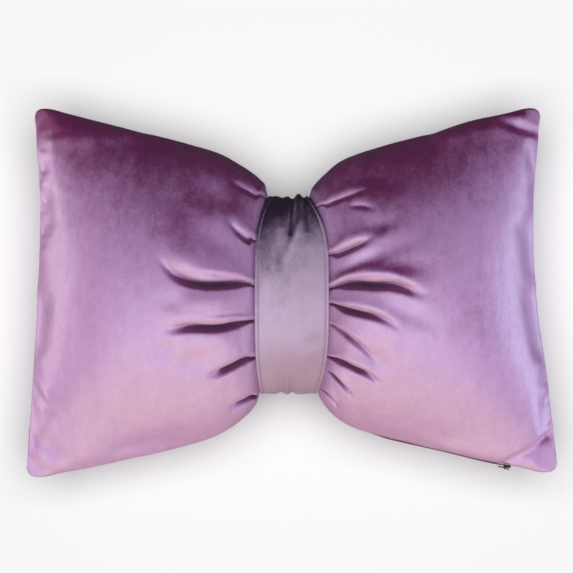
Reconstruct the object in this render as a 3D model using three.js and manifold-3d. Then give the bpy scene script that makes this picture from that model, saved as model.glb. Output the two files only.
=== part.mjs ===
// A velvet bow cushion, lying on its back.
// A stuffed rectangular cover is drawn in at the waist by a stitched velvet band, and a closed zip runs along
// the lower seam of its right lobe. Units are millimetres: X runs across the bow, Y up its face and Z up from
// the surface that it lies on. The origin is on that surface, under the middle of the outline.
import * as THREE from "three";
import { LoftGeometry } from "three/addons/geometries/LoftGeometry.js";
import { mergeVertices } from "three/addons/utils/BufferGeometryUtils.js";
import Module from "manifold-3d";

// Driving sizes
const OVERALL_WIDTH = 500;
const SEAM_HEIGHT = 60; // the edge seam above the surface that the cushion lies on
const NECK = { middle: -2, reach: 90, front: 44, back: 42 }; // the waist: its middle's Y and its half sizes
const BAND_THICKNESS = 3;
const BAND_EDGE_ROUND = 1.2;
const BAND_EDGE_TURN = 4; // the higher, the later the band's edge turns in towards its top and bottom
const GAP = 0.3; // between pieces that touch

// How finely the cloth is divided
const RING_POINTS = 80;
const LOBE_COLUMNS = 22;
const COLUMN_CROWDING = 1.7; // above 1, columns crowd towards the band, where the folds are
const CORNER_SHARES = [0.965, 0.985, 0.996]; // more columns, which round the corners

// The two lobes. Sizes are distances from the bow's middle line, or heights on its face.
// bandEdge: how far the band's edge is from the middle line, at half height and where it turns over the top
// and the bottom. endSeam: how far the end seam is, by level, from 1 at its top to -1 at its bottom.
// sections: share runs from 0 at the band to 1 at the end seam; top and bottom are the outline's heights.
const LOBES = [
  {
    side: -1,
    bandEdge: { middle: 35, top: 22.6, bottom: 30.2 },
    endSeam: [
      { level: -1, reach: 250 },
      { level: -0.5, reach: 244 },
      { level: 0, reach: 239.5 },
      { level: 0.5, reach: 237 },
      { level: 1, reach: 242.5 },
    ],
    sections: [
      { share: 0, top: 88, bottom: -92 },
      { share: 0.01, top: 100, bottom: -101 },
      { share: 0.03, top: 106, bottom: -109 },
      { share: 0.07, top: 113.5, bottom: -118 },
      { share: 0.13, top: 122, bottom: -128 },
      { share: 0.2, top: 130.5, bottom: -136 },
      { share: 0.35, top: 140.5, bottom: -146 },
      { share: 0.5, top: 148.5, bottom: -153.5 },
      { share: 0.7, top: 160, bottom: -163.5 },
      { share: 0.85, top: 168, bottom: -169.5 },
      { share: 0.965, top: 173, bottom: -173 },
      { share: 0.985, top: 171.7, bottom: -171.5 },
      { share: 0.996, top: 169, bottom: -168.5 },
      { share: 1, top: 165.5, bottom: -165 },
    ],
  },
  {
    side: 1,
    bandEdge: { middle: 34.5, top: 15.8, bottom: 24 },
    endSeam: [
      { level: -1, reach: 250 },
      { level: -0.5, reach: 240 },
      { level: 0, reach: 229.5 },
      { level: 0.5, reach: 227.5 },
      { level: 1, reach: 234 },
    ],
    sections: [
      { share: 0, top: 88, bottom: -92 },
      { share: 0.01, top: 96.5, bottom: -99 },
      { share: 0.03, top: 103, bottom: -106 },
      { share: 0.07, top: 112, bottom: -116 },
      { share: 0.13, top: 123, bottom: -125 },
      { share: 0.2, top: 130, bottom: -131 },
      { share: 0.35, top: 140, bottom: -139.5 },
      { share: 0.5, top: 148, bottom: -147 },
      { share: 0.7, top: 162, bottom: -158 },
      { share: 0.85, top: 168.5, bottom: -164.5 },
      { share: 0.965, top: 173.5, bottom: -168.5 },
      { share: 0.985, top: 172.3, bottom: -167 },
      { share: 0.996, top: 169.5, bottom: -164 },
      { share: 1, top: 166, bottom: -160.5 },
    ],
  },
];

// The filling, by share of the way from the band to the end seam: how far the front and the back stand out
// from the seam, and how sharply they meet there, from 1 for a round edge to 2 for a lens.
const FILLING = [
  { share: 0, front: 44, back: 42, edge: 1 },
  { share: 0.01, front: 48, back: 45, edge: 1.02 },
  { share: 0.03, front: 52, back: 49, edge: 1.05 },
  { share: 0.07, front: 57, back: 54, edge: 1.1 },
  { share: 0.13, front: 62, back: 58, edge: 1.2 },
  { share: 0.2, front: 66, back: 62, edge: 1.3 },
  { share: 0.35, front: 68, back: 65, edge: 1.45 },
  { share: 0.5, front: 66, back: 64, edge: 1.55 },
  { share: 0.65, front: 59, back: 58, edge: 1.6 },
  { share: 0.8, front: 45, back: 44, edge: 1.6 },
  { share: 0.9, front: 29, back: 29, edge: 1.55 },
  { share: 1, front: 0, back: 0, edge: 1.5 },
];

// The gathers of the face, which run out from under the band. across is the distance from the middle line and
// up the height on the face, at the band (root), on the way (bend) and where the fold dies away (tip).
// The back has the same ones, turned over.
const FOLDS = [
  { side: -1, root: [29, 86], bend: [45, 99], tip: [60, 108], depth: 6, width: 8 },
  { side: -1, root: [33, 50], bend: [44, 58], tip: [57, 66], depth: 8, width: 8 },
  { side: -1, root: [35, 8], bend: [94, 7], tip: [128, 25], depth: 15, width: 10 },
  { side: -1, root: [35, -25], bend: [78, -33], tip: [122, -32], depth: 12, width: 9 },
  { side: -1, root: [35, -61], bend: [54, -68], tip: [82, -77], depth: 11, width: 9 },
  { side: -1, root: [31, -93], bend: [43, -101], tip: [57, -110], depth: 7, width: 8 },
  { side: 1, root: [26, 82], bend: [45, 88], tip: [66, 97], depth: 6, width: 8 },
  { side: 1, root: [34, 38], bend: [51, 43], tip: [76, 52], depth: 9, width: 8 },
  { side: 1, root: [36, 20], bend: [57, 28], tip: [100, 40], depth: 4, width: 8 },
  { side: 1, root: [35, 5], bend: [75, 4], tip: [124, 1], depth: 13, width: 9 },
  { side: 1, root: [35, -14], bend: [62, -21], tip: [98, -30], depth: 8, width: 8 },
  { side: 1, root: [34, -34], bend: [46, -40], tip: [64, -48], depth: 5, width: 8 },
  { side: 1, root: [33, -60], bend: [57, -69], tip: [88, -81], depth: 10, width: 9 },
  { side: 1, root: [27, -89], bend: [36, -100], tip: [48, -113], depth: 6, width: 8 },
];
const FOLD_STEPS = 12;
const FOLD_DEPTH_AT_BAND = 0.6; // as a share of the fold's depth further out
const SEAM_STIFFNESS = 8; // the higher, the closer to the edge seam the folds reach

// The closed zip, on the lower seam of the right lobe
const CHAIN = { from: 0.2, to: 0.775, steps: 24, width: 3.4, thickness: 1.3 };
const SLIDER = { length: 6.6, width: 5.6, shoulder: 3.6, nose: 3.4, thickness: 2.2 };
const BRIDGE = { length: 4.4, height: 2.2, bar: 0.7, width: 1.2 };
const PULL = { length: 8.6, width: 3.4, thickness: 0.9, eye: [2.4, 1.9], rim: 1 };

// A smooth function through the named column of a table, against its share or level column.
function column(rows, along, name) {
  const places = Float32Array.from(rows, (row) => row[along]);
  const values = Float32Array.from(rows, (row) => row[name]);
  const curve = new THREE.CubicInterpolant(places, values, 1, new Float32Array(1));
  return (place) => curve.evaluate(place)[0];
}

const filling = {
  front: column(FILLING, "share", "front"),
  back: column(FILLING, "share", "back"),
  edge: column(FILLING, "share", "edge"),
};
const lobes = LOBES.map((lobe) => ({
  ...lobe,
  top: column(lobe.sections, "share", "top"),
  bottom: column(lobe.sections, "share", "bottom"),
  end: column(lobe.endSeam, "level", "reach"),
}));
const folds = FOLDS.map((fold) => ({
  ...fold,
  line: new THREE.CatmullRomCurve3(
    [fold.root, fold.bend, fold.tip].map(([across, up]) => new THREE.Vector3(across, up, 0)),
  ).getPoints(FOLD_STEPS),
}));

// How far the band's edge is from the middle line, by level, from 1 over its top to -1 under its bottom.
function bandEdge(lobe, level) {
  const { middle, top, bottom } = lobe.bandEdge;
  return middle - (middle - (level > 0 ? top : bottom)) * level ** BAND_EDGE_TURN;
}

// How far a point of the face is from a fold's line, and how far along the line the nearest place is.
function nearestOnFold(fold, across, up) {
  const point = new THREE.Vector3(across, up, 0);
  const nearest = { distance: Infinity, share: 0 };
  for (let i = 0; i < FOLD_STEPS; i++) {
    const stretch = new THREE.Line3(fold.line[i], fold.line[i + 1]);
    const along = stretch.closestPointToPointParameter(point, true);
    const distance = stretch.at(along, new THREE.Vector3()).distanceTo(point);
    if (distance < nearest.distance) {
      nearest.distance = distance;
      nearest.share = (i + along) / FOLD_STEPS;
    }
  }
  return nearest;
}

// A fold is deepest a little way out from the band, and dies away at its tip.
function depthAlongFold(share) {
  const start = Math.asin(FOLD_DEPTH_AT_BAND);
  return Math.sin(THREE.MathUtils.lerp(start, Math.PI, share));
}

// How deep the gathers are at a point of one face, 1 for the front and -1 for the back.
function gatherDepth(side, face, across, up) {
  let depth = 0;
  for (const fold of folds) {
    if (fold.side !== side * face) continue;
    const { distance, share } = nearestOnFold(fold, across, up);
    depth += fold.depth * depthAlongFold(share) * Math.exp(-((distance / fold.width) ** 2));
  }
  return depth;
}

// A place on a section's ring. Angle 0 is the top seam, a quarter turn the front and a half the bottom seam.
function sectionPoint(shape, angle) {
  const level = Math.cos(angle);
  const lift = Math.sin(angle);
  const out = lift > 0 ? shape.front : shape.back;
  return {
    level,
    up: shape.middle + shape.reach * level,
    height: SEAM_HEIGHT + out * Math.sign(lift) * Math.abs(lift) ** shape.edge,
    // the direction out of the section, across X
    outUp: level / shape.reach,
    outHeight: lift / Math.max(out, 1),
  };
}

// A point of one lobe, at a share of the way from the band to the end seam and an angle round its section.
function lobePoint(lobe, share, angle) {
  const top = lobe.top(share);
  const bottom = lobe.bottom(share);
  const shape = {
    middle: (top + bottom) / 2,
    reach: (top - bottom) / 2,
    front: filling.front(share),
    back: filling.back(share),
    edge: filling.edge(share),
  };
  const at = sectionPoint(shape, angle);
  const across = THREE.MathUtils.lerp(bandEdge(lobe, at.level), lobe.end(at.level), share);
  const face = Math.sin(angle) > 0 ? 1 : -1;
  const depth = gatherDepth(lobe.side, face, across, at.up) * (1 - at.level ** SEAM_STIFFNESS);
  const inward = depth / Math.hypot(at.outUp, at.outHeight);
  return new THREE.Vector3(
    lobe.side * across,
    at.up - at.outUp * inward,
    Math.max(0, at.height - at.outHeight * inward),
  );
}

// A point of the waist under the band, where the cloth is pressed smooth.
function neckPoint(angle) {
  return sectionPoint({ ...NECK, edge: 1 }, angle);
}

function ringAngles() {
  return Array.from({ length: RING_POINTS }, (_, i) => (2 * Math.PI * i) / RING_POINTS);
}

function cushionGeometry() {
  const [left, right] = lobes;
  const crowded = Array.from({ length: LOBE_COLUMNS }, (_, i) => (i / LOBE_COLUMNS) ** COLUMN_CROWDING);
  const shares = [...crowded, ...CORNER_SHARES, 1];
  const ringAt = (lobe, share) => ringAngles().map((angle) => lobePoint(lobe, share, angle));
  const lobeRings = (lobe) => shares.map((share) => ringAt(lobe, share));
  const waist = [0.25, 0.75].map((share) =>
    ringAngles().map((angle) => {
      const at = neckPoint(angle);
      const x = THREE.MathUtils.lerp(-bandEdge(left, at.level), bandEdge(right, at.level), share);
      return new THREE.Vector3(x, at.up, at.height);
    }),
  );
  return new LoftGeometry([...lobeRings(left).reverse(), ...waist, ...lobeRings(right)]);
}

// The band is a closed loop of doubled velvet. Its section is a flat strip with rounded edges.
function bandGeometry() {
  const [left, right] = lobes;
  const sections = [...ringAngles(), 0].map((angle) => {
    const at = neckPoint(angle);
    const out = new THREE.Vector2(at.outUp, at.outHeight).normalize();
    const low = -bandEdge(left, at.level) + GAP;
    const high = bandEdge(right, at.level) - GAP;
    const strip = [
      { x: low, out: 0 },
      { x: high, out: 0 },
      { x: high, out: 0.5 },
      { x: high - BAND_EDGE_ROUND, out: 1 },
      { x: low + BAND_EDGE_ROUND, out: 1 },
      { x: low, out: 0.5 },
    ];
    return strip.map((p) => {
      const offset = GAP + p.out * BAND_THICKNESS;
      return new THREE.Vector3(p.x, at.up + out.x * offset, at.height + out.y * offset);
    });
  });
  return new LoftGeometry(sections);
}

// The seam of the right lobe's lower edge, at a share of the way from the band to the end seam.
function lowerSeam(share) {
  return lobePoint(lobes[1], share, Math.PI);
}

// The closed chain is a slim flat strip that lies along the seam.
function chainGeometry() {
  const { from, to, steps, width, thickness } = CHAIN;
  const sections = Array.from({ length: steps + 1 }, (_, i) => {
    const at = lowerSeam(THREE.MathUtils.lerp(from, to, i / steps));
    const upper = at.y - GAP;
    return [
      new THREE.Vector3(at.x, upper, at.z - width / 2),
      new THREE.Vector3(at.x, upper, at.z + width / 2),
      new THREE.Vector3(at.x, upper - thickness, at.z + width / 4),
      new THREE.Vector3(at.x, upper - thickness, at.z - width / 4),
    ];
  });
  return new LoftGeometry(sections, { capStart: true, capEnd: true });
}

// Joins closed geometries into one.
async function joined(geometries) {
  const wasm = await Module();
  wasm.setup();
  const solids = geometries.map((geometry) => {
    const bare = new THREE.BufferGeometry();
    bare.setAttribute("position", geometry.getAttribute("position"));
    bare.setIndex(geometry.getIndex());
    const merged = mergeVertices(bare);
    const vertProperties = merged.getAttribute("position").array;
    const triVerts = new Uint32Array(merged.getIndex().array);
    return new wasm.Manifold(new wasm.Mesh({ numProp: 3, vertProperties, triVerts }));
  });
  const mesh = solids.reduce((all, solid) => all.add(solid)).getMesh();
  const geometry = new THREE.BufferGeometry();
  geometry.setAttribute("position", new THREE.BufferAttribute(mesh.vertProperties, 3));
  geometry.setIndex(new THREE.BufferAttribute(mesh.triVerts, 1));
  geometry.computeVertexNormals();
  return geometry;
}

// A plate cut to an outline in X and Z, which hangs down from a height in Y.
function plate(outline, top, thickness, holes = []) {
  const shape = new THREE.Shape(outline.map(([x, z]) => new THREE.Vector2(x, z)));
  shape.holes = holes.map((hole) => new THREE.Path(hole.map(([x, z]) => new THREE.Vector2(x, z))));
  return new THREE.ExtrudeGeometry(shape, { depth: thickness, bevelEnabled: false })
    .rotateX(Math.PI / 2)
    .translate(0, top, 0);
}

function rectangle(left, right, half) {
  return [
    [left, -half],
    [right, -half],
    [right, half],
    [left, half],
  ];
}

// The slider tapers to its nose, which points the way that it closes, and has an arched bridge below.
function sliderGeometry() {
  const { length, width, shoulder, nose, thickness } = SLIDER;
  const body = plate(
    [
      [0, -width / 2],
      [shoulder, -width / 2],
      [length, -nose / 2],
      [length, nose / 2],
      [shoulder, width / 2],
      [0, width / 2],
    ],
    0,
    thickness,
  );
  const low = -thickness - BRIDGE.height;
  const start = (length - BRIDGE.length) / 2;
  const arch = new THREE.Shape([
    new THREE.Vector2(start, -thickness / 2),
    new THREE.Vector2(start, low),
    new THREE.Vector2(start + BRIDGE.length, low),
    new THREE.Vector2(start + BRIDGE.length, -thickness / 2),
    new THREE.Vector2(start + BRIDGE.length - BRIDGE.bar, -thickness / 2),
    new THREE.Vector2(start + BRIDGE.length - BRIDGE.bar, low + BRIDGE.bar),
    new THREE.Vector2(start + BRIDGE.bar, low + BRIDGE.bar),
    new THREE.Vector2(start + BRIDGE.bar, -thickness / 2),
  ]);
  const bridge = new THREE.ExtrudeGeometry(arch, { depth: BRIDGE.width, bevelEnabled: false });
  return joined([body, bridge.translate(0, 0, -BRIDGE.width / 2)]);
}

// The tab's eye goes round the near leg of the bridge, and the tab lies back along the chain.
function pullGeometry() {
  const { length, width, thickness, eye, rim } = PULL;
  const leg = (SLIDER.length - BRIDGE.length + BRIDGE.bar) / 2;
  const eyeRight = leg + eye[0] / 2;
  const right = eyeRight + rim;
  const outline = [
    [right, -width / 2],
    [right, width / 2],
    [right - length + width / 2, width / 2],
    [right - length, width / 4],
    [right - length, -width / 4],
    [right - length + width / 2, -width / 2],
  ].reverse();
  const top = -SLIDER.thickness - GAP;
  return plate(outline, top, thickness, [rectangle(leg - eye[0] / 2, eyeRight, eye[1] / 2)]);
}

function velvet(colour) {
  return new THREE.MeshStandardMaterial({ color: colour, roughness: 0.75, metalness: 0 });
}

const cushionVelvet = velvet(0xa06ea0);
const bandVelvet = velvet(0x96829b);
const zipTape = new THREE.MeshStandardMaterial({ color: 0x7a4a68, roughness: 0.85, metalness: 0 });
const zipMetal = new THREE.MeshStandardMaterial({ color: 0x3c3a36, roughness: 0.4, metalness: 0.9 });

function piece(name, geometry, material) {
  const mesh = new THREE.Mesh(geometry, material);
  mesh.name = name;
  return mesh;
}

// The slider sits at the end of the chain, turned along the seam there.
const zip = new THREE.Group();
const sliderSeat = lowerSeam(CHAIN.to);
const seamAhead = lowerSeam(CHAIN.to + 0.03);
zip.position.set(sliderSeat.x + 2 * GAP, sliderSeat.y - GAP, sliderSeat.z);
zip.rotation.z = Math.atan2(seamAhead.y - sliderSeat.y, seamAhead.x - sliderSeat.x);
zip.add(piece("zip_slider", await sliderGeometry(), zipMetal), piece("zip_pull", pullGeometry(), zipMetal));

const bow = new THREE.Group();
bow.add(
  piece("cushion", cushionGeometry(), cushionVelvet),
  piece("band", bandGeometry(), bandVelvet),
  piece("zip_chain", chainGeometry(), zipTape),
  zip,
);

// The outline's middle goes over the origin. Its width has to stay the overall one when the tables change.
const outline = new THREE.Box3().setFromObject(bow);
const middle = outline.getCenter(new THREE.Vector3());
bow.position.set(-middle.x, -middle.y, -outline.min.z);
const width = outline.max.x - outline.min.x;
if (Math.abs(width - OVERALL_WIDTH) > 1) throw new Error("the outline's width isn't the overall one");

const part = new THREE.Group();
part.add(bow);
export default part;
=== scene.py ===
"""The looks of a velvet bow cushion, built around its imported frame.

Tables are in millimetres, as a maker would write them, and meshes are in metres. X runs across the bow,
Y up its face and Z up from the surface that it lies on.
"""

from __future__ import annotations

import logging
import math
from dataclasses import dataclass, field
from enum import Enum

import bpy
import numpy as np
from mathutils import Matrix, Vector


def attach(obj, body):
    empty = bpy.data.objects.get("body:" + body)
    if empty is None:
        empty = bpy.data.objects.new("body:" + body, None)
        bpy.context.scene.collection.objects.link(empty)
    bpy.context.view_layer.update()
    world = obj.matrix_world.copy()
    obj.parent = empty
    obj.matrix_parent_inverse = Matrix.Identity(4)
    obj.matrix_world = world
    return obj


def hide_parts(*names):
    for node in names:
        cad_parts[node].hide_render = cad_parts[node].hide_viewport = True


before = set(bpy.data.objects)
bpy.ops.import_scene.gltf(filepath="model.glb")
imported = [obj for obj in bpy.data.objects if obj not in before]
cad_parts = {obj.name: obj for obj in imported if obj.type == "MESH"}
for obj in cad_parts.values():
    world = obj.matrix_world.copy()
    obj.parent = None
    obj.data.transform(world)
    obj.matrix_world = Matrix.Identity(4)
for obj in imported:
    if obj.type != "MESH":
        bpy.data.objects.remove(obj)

LOG = logging.getLogger("bow_cushion")
MM = 0.001
# A length under this, in millimetres, counts as none.
TINY = 1e-6
Array = np.ndarray
Grids = dict[tuple[str, "Face"], np.ndarray]
Quads = list[tuple[int, ...]]
# The tables' middle line is this far from the frame's own.
FRAME_SHIFT = np.array([0, -0.25, 0])
# The edge seams lie in one plane, this far over the surface.
SEAM_HEIGHT = 60


def smooth_step(low: float, high: float, at: Array) -> Array:
    """Rise smoothly from 0 to 1.

    Args:
        low: Where the rise starts.
        high: Where it ends.
        at: Where it is read.

    Returns:
        The share of the rise at each place.
    """
    share = np.clip((at - low) / (high - low), 0, 1)
    return share * share * (3 - 2 * share)


def lengths_along(line: Array) -> Array:
    """Measure a line.

    Args:
        line: Its points, one after another.

    Returns:
        How far along the line each point lies.
    """
    return np.concatenate([[0], np.cumsum(np.linalg.norm(np.diff(line, axis=0), axis=1))])


def unit(vectors: Array) -> Array:
    """Scale vectors to a length of 1.

    Args:
        vectors: The vectors. Their last axis holds their parts.

    Returns:
        The scaled vectors. One with no length stays as it is.
    """
    return vectors / np.maximum(np.linalg.norm(vectors, axis=-1, keepdims=True), TINY)


def read_along(line: Array, length: Array, spots: Array) -> Array:
    """Read points or directions along a line.

    Args:
        line: The line's points, or its directions at them.
        length: How far along the line each one lies.
        spots: How far along the line to read.

    Returns:
        A point or a direction for each spot.
    """
    return np.stack([np.interp(spots, length, line[:, axis]) for axis in range(3)], axis=1)


@dataclass(frozen=True)
class Curve:
    """A smooth line through a short table of places and values."""

    places: tuple[float, ...]
    values: tuple[float, ...]

    def __call__(self, at: Array | float) -> Array:
        """Read the line.

        Args:
            at: Where to read it. Outside the table its end values hold.

        Returns:
            The line's value at each place.
        """
        place, value = np.array(self.places, float), np.array(self.values, float)
        at = np.clip(np.asarray(at, float), place[0], place[-1])
        high = np.clip(np.searchsorted(place, at, side="right"), 1, len(place) - 1)
        low = high - 1
        has_before, has_after = low > 0, high < len(place) - 1
        before = np.where(has_before, low - 1, high)
        after = np.where(has_after, np.minimum(high + 1, len(place) - 1), low)
        half = (place[high] - place[low]) / 2
        pull_before = half / (place[low] - place[before])
        pull_after = half / (place[after] - place[high])
        p = (at - place[low]) / (place[high] - place[low])
        from_low = (1 + pull_before) * p**3 - (1.5 + 2 * pull_before) * p**2 + (pull_before - 0.5) * p + 1
        return (
            value[before] * pull_before * (-(p**3) + 2 * p**2 - p)
            + value[low] * from_low
            + value[high] * ((-1 - pull_after) * p**3 + (1.5 + pull_after) * p**2 + 0.5 * p)
            + value[after] * pull_after * (p**3 - p**2)
        )


@dataclass(frozen=True)
class Fold:
    """A gather of the face, which runs out from under the band.

    path holds (distance from the middle line, height on the face) along its crease. depth is how far its
    bottom lies under the face, width how wide its shaded wall is, and roll how full the cloth above it is.
    fan is how much wider that roll grows towards the tip, and crisp how sharply the cloth is creased. fade
    is the share of the way where it starts to run out. A loose fold starts away from the band.
    """

    path: tuple[tuple[float, float], ...]
    depth: float
    width: float
    roll: float = 1.0
    fan: float = 0.3
    crisp: float = 1.0
    fade: float = 0.55
    loose: bool = False
    depth_at_band: float = 0.6
    full_by: float = 0.35
    loose_full_by: float = 0.4
    width_at_band: float = 0.35
    wall_full_by: float = 0.22
    wall_at_tip: float = 1.2
    wall_wider_from: float = 0.6
    roll_growth: float = 0.55
    roll_full_by: float = 0.4
    fan_from: float = 0.3
    gone_by: float = 1.05
    soft_before_fade: float = 0.2
    soft_by: float = 0.95
    share_limit: float = 1.15

    @property
    def root(self) -> float:
        """The crease's distance from the middle line where it starts."""
        return self.path[0][0]

    @property
    def tip(self) -> float:
        """The crease's distance from the middle line where it ends."""
        return self.path[-1][0]

    def height(self, across: Array) -> Array:
        """The crease's height on the face at a distance from the middle line."""
        return Curve(*zip(*self.path))(across)

    def share(self, across: Array) -> Array:
        """How far along the fold a distance from the middle line is, from 0 to a little over 1."""
        return np.clip((across - self.root) / (self.tip - self.root), 0, self.share_limit)

    def strength(self, share: Array) -> Array:
        """Tell how deep the fold is along its length.

        Args:
            share: How far along the fold.

        Returns:
            The share of its depth there.
        """
        rise = self.depth_at_band + (1 - self.depth_at_band) * smooth_step(0, self.full_by, share)
        if self.loose:
            rise = smooth_step(0, self.loose_full_by, share)
        return rise * (1 - smooth_step(self.fade, self.gone_by, share))

    def sharpness(self, share: Array) -> Array:
        """How sharply the cloth is folded along the fold, from 0 for a soft wave to 1 for a crease."""
        start = smooth_step(0, self.loose_full_by, share) if self.loose else 1.0
        return self.crisp * start * (1 - smooth_step(self.fade - self.soft_before_fade, self.soft_by, share))

    def wall_spread(self, share: Array) -> Array:
        """How wide the shaded wall is along the fold, as a share of its width."""
        grown = self.width_at_band + (1 - self.width_at_band) * smooth_step(0, self.wall_full_by, share)
        return grown * (1 + (self.wall_at_tip - 1) * smooth_step(self.wall_wider_from, 1, share))

    def roll_spread(self, share: Array) -> Array:
        """How wide the roll over the crease is along the fold, as a share of its width."""
        grown = self.width_at_band + self.roll_growth * smooth_step(0, self.roll_full_by, share)
        return grown + self.fan * smooth_step(self.fan_from, 1, share)


@dataclass(frozen=True)
class Trough:
    """A soft hollow, or a soft ridge where depth is negative, along a line of a face."""

    start: tuple[float, float]
    end: tuple[float, float]
    depth: float
    width: float
    end_share: float = 0.3

    def depth_at(self, x: Array, y: Array) -> Array:
        """Tell how deep the face is pressed at a place.

        Args:
            x: Where across the face.
            y: Where up the face.

        Returns:
            The depth there, in millimetres.
        """
        start, end = np.array(self.start, float), np.array(self.end, float)
        run = end - start
        share = np.clip(((x - start[0]) * run[0] + (y - start[1]) * run[1]) / (run @ run), 0, 1)
        away = np.hypot(x - start[0] - share * run[0], y - start[1] - share * run[1])
        ends = self.end_share + (1 - self.end_share) * np.sin(np.pi * share)
        return self.depth * ends * np.exp(-((away / self.width) ** 2))


@dataclass(frozen=True)
class BrushAndShadePatch:
    """A soft patch of partly brushed pile, partly painted light and shade.

    It is brighter, with painted light, where by is above 0, and deeper, with painted shade, where it's
    below.
    """

    middle: tuple[float, float]
    reach: tuple[float, float]
    by: float

    def at(self, x: Array, y: Array) -> Array:
        """How far the patch lightens or deepens the colour at a place."""
        away = ((x - self.middle[0]) / self.reach[0]) ** 2 + ((y - self.middle[1]) / self.reach[1]) ** 2
        return self.by * np.exp(-away)


@dataclass(frozen=True)
class Gathers:
    """The folds and the soft hollows of one face of one lobe, from the top down."""

    folds: tuple[Fold, ...]
    troughs: tuple[Trough, ...]


LEFT_GATHERS = Gathers(
    folds=(
        Fold(((24, 87), (38, 95), (60, 107)), depth=2.6, width=9, crisp=0.12),
        Fold(((33, 49), (43.7, 53.7), (51, 60), (60, 69)), depth=4.6, width=10, crisp=0.35),
        Fold(
            ((34.7, 7.3), (43.7, 11.4), (62, 11.4), (83, 11.4), (98, 15), (110, 21), (116, 26), (121, 35)),
            depth=12, width=10.5, fan=0.7, roll=0.6, fade=0.72,
        ),
        Fold(
            ((35, -24.7), (52.7, -26.5), (66, -29), (93, -29), (120, -32)),
            depth=11, width=9.5, roll=0.7, fade=0.65,
        ),
        Fold(((34, -59), (42, -59), (53, -64.5), (66, -71), (79, -75)), depth=13, width=10, roll=0.7),
        Fold(((29, -92), (39, -96), (49, -102), (60, -107)), depth=11, width=10, roll=0.4),
    ),
    troughs=(
        Trough((102, -69), (75, -59), 2.5, 10),
        Trough((131, -53.6), (107, -50.8), 2, 9),
        Trough((120, -9), (100, -7), 1.4, 8),
        Trough((48, 13.5), (84, 18.5), 1.1, 2.2),
        Trough((80, 28), (114, 38), -2.6, 14),
        Trough((128, 60), (106, 62), 0.8, 9),
        Trough((46, 34), (90, 62), 1, 10),
        Trough((50, 80), (95, 100), 2.5, 13),
        Trough((44, -18), (80, -21), 0.8, 2),
        Trough((48, -6), (104, -9), -2.2, 9),
        Trough((44, -42), (96, -46), -1.6, 9),
        Trough((100, -133), (190, -155), 2.5, 8),
        Trough((185, 140), (228, 150), -2.5, 10),
        Trough((206, 152), (236, 146), 1.4, 5),
        Trough((190, -110), (236, -146), 1.6, 12),
        Trough((214, -156), (243, -132), 2.4, 7),
        Trough((244, 131), (227, 128), -1.5, 5),
        Trough((243, 116), (228, 114), 1.4, 4),
        Trough((242, 101), (226, 100), -1.5, 5),
        Trough((242, 86), (228, 85), 1.2, 4),
        Trough((242, 73), (225, 70), -1.4, 5),
        Trough((241, 57), (228, 55), 1.2, 4),
        Trough((240, 40), (226, 38), -1.3, 5),
        Trough((243, -78), (220, -104), -1.5, 4),
        Trough((240, -92), (224, -112), 1.3, 4),
        Trough((246, -128), (233, -160), -1.6, 4),
    ),
)
RIGHT_GATHERS = Gathers(
    folds=(
        Fold(((24, 80), (43.7, 88.5), (61.7, 95), (76, 100)), depth=2.4, width=8, crisp=0.1, fan=0),
        Fold(((50, 80), (62, 82), (78, 79)), depth=2, width=8, crisp=0.1, loose=True),
        Fold(((34, 35.7), (48, 41), (61.7, 46.6), (76, 53)), depth=7, width=9, crisp=0.5, roll=1.15, fan=0),
        Fold(
            ((34.6, 4.5), (44, 9.5), (51, 11.4), (75, 10.5), (89, 10.5), (102, 7.7), (122, 0)),
            depth=12, width=10.5, fan=-0.1, fade=0.65,
        ),
        Fold(
            ((34.6, -9), (45.5, -12.1), (62, -16.6), (75, -19.5), (89, -25), (99, -31)),
            depth=9.5, width=8, roll=1.05, fan=0.1,
        ),
        Fold(((34.6, -28), (45.5, -34), (52.6, -40), (62, -47), (76, -60)), depth=7, width=7, crisp=0.4),
        Fold(((33, -58), (45.5, -61.7), (57, -68), (69, -73.5), (84, -84)), depth=10, width=7.5, crisp=0.8),
        Fold(((31.5, -69), (39, -76), (45.5, -83.4), (57, -96)), depth=9, width=6.5, crisp=0.75),
        Fold(((27, -88), (33.7, -94.2), (38.2, -100.5), (44, -107)), depth=7, width=6, crisp=0.6),
    ),
    troughs=(
        Trough((84, -8.5), (125, -27.4), 2.5, 10),
        Trough((79, 25), (130, 22), 1.6, 8),
        Trough((62, 61), (98, 64), 1.5, 9),
        Trough((62, -50), (88, -68), 2.5, 8),
        Trough((50, 104), (100, 108), 2, 12),
        Trough((38, 18), (84, 36), 3.0, 6),
        Trough((84, 36), (116, 51), 0.9, 7),
        Trough((45, 31), (100, 62), -1.8, 7),
        Trough((46, 12.5), (90, 15.5), 0.8, 1.9),
        Trough((195, 161), (231, 149), 3.0, 4.5),
        Trough((200, 168), (234, 157), -1.6, 5),
        Trough((194, -157), (222, -144), -2.6, 3),
        Trough((218, -146), (252, -120), -3.4, 3.4),
        Trough((196, -161), (224, -147.5), 5, 4.5),
        Trough((219, -149.5), (254, -123), 4.6, 5.5),
        Trough((202, -165), (254, -131), 3, 9),
        Trough((120, -138), (202, -158), -3, 6.5),
        Trough((244, -88), (229, -92), -1.4, 5),
        Trough((245, -101), (231, -103), 1.3, 4),
    ),
)


@dataclass(frozen=True)
class Lobe:
    """One half of the bow: its outline's tables. side is -1 on the left and 1 on the right."""

    name: str
    side: int
    band_edge: tuple[float, float, float]
    end_seam: Curve
    top: Curve
    bottom: Curve
    front_gathers: Gathers
    back_gathers: Gathers

    def edge(self, level: Array) -> Array:
        """How far the band's edge is from the middle line at a level, 1 at the top and -1 at the bottom."""
        middle, top, bottom = self.band_edge
        return middle - (middle - np.where(level > 0, top, bottom)) * level**4


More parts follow.
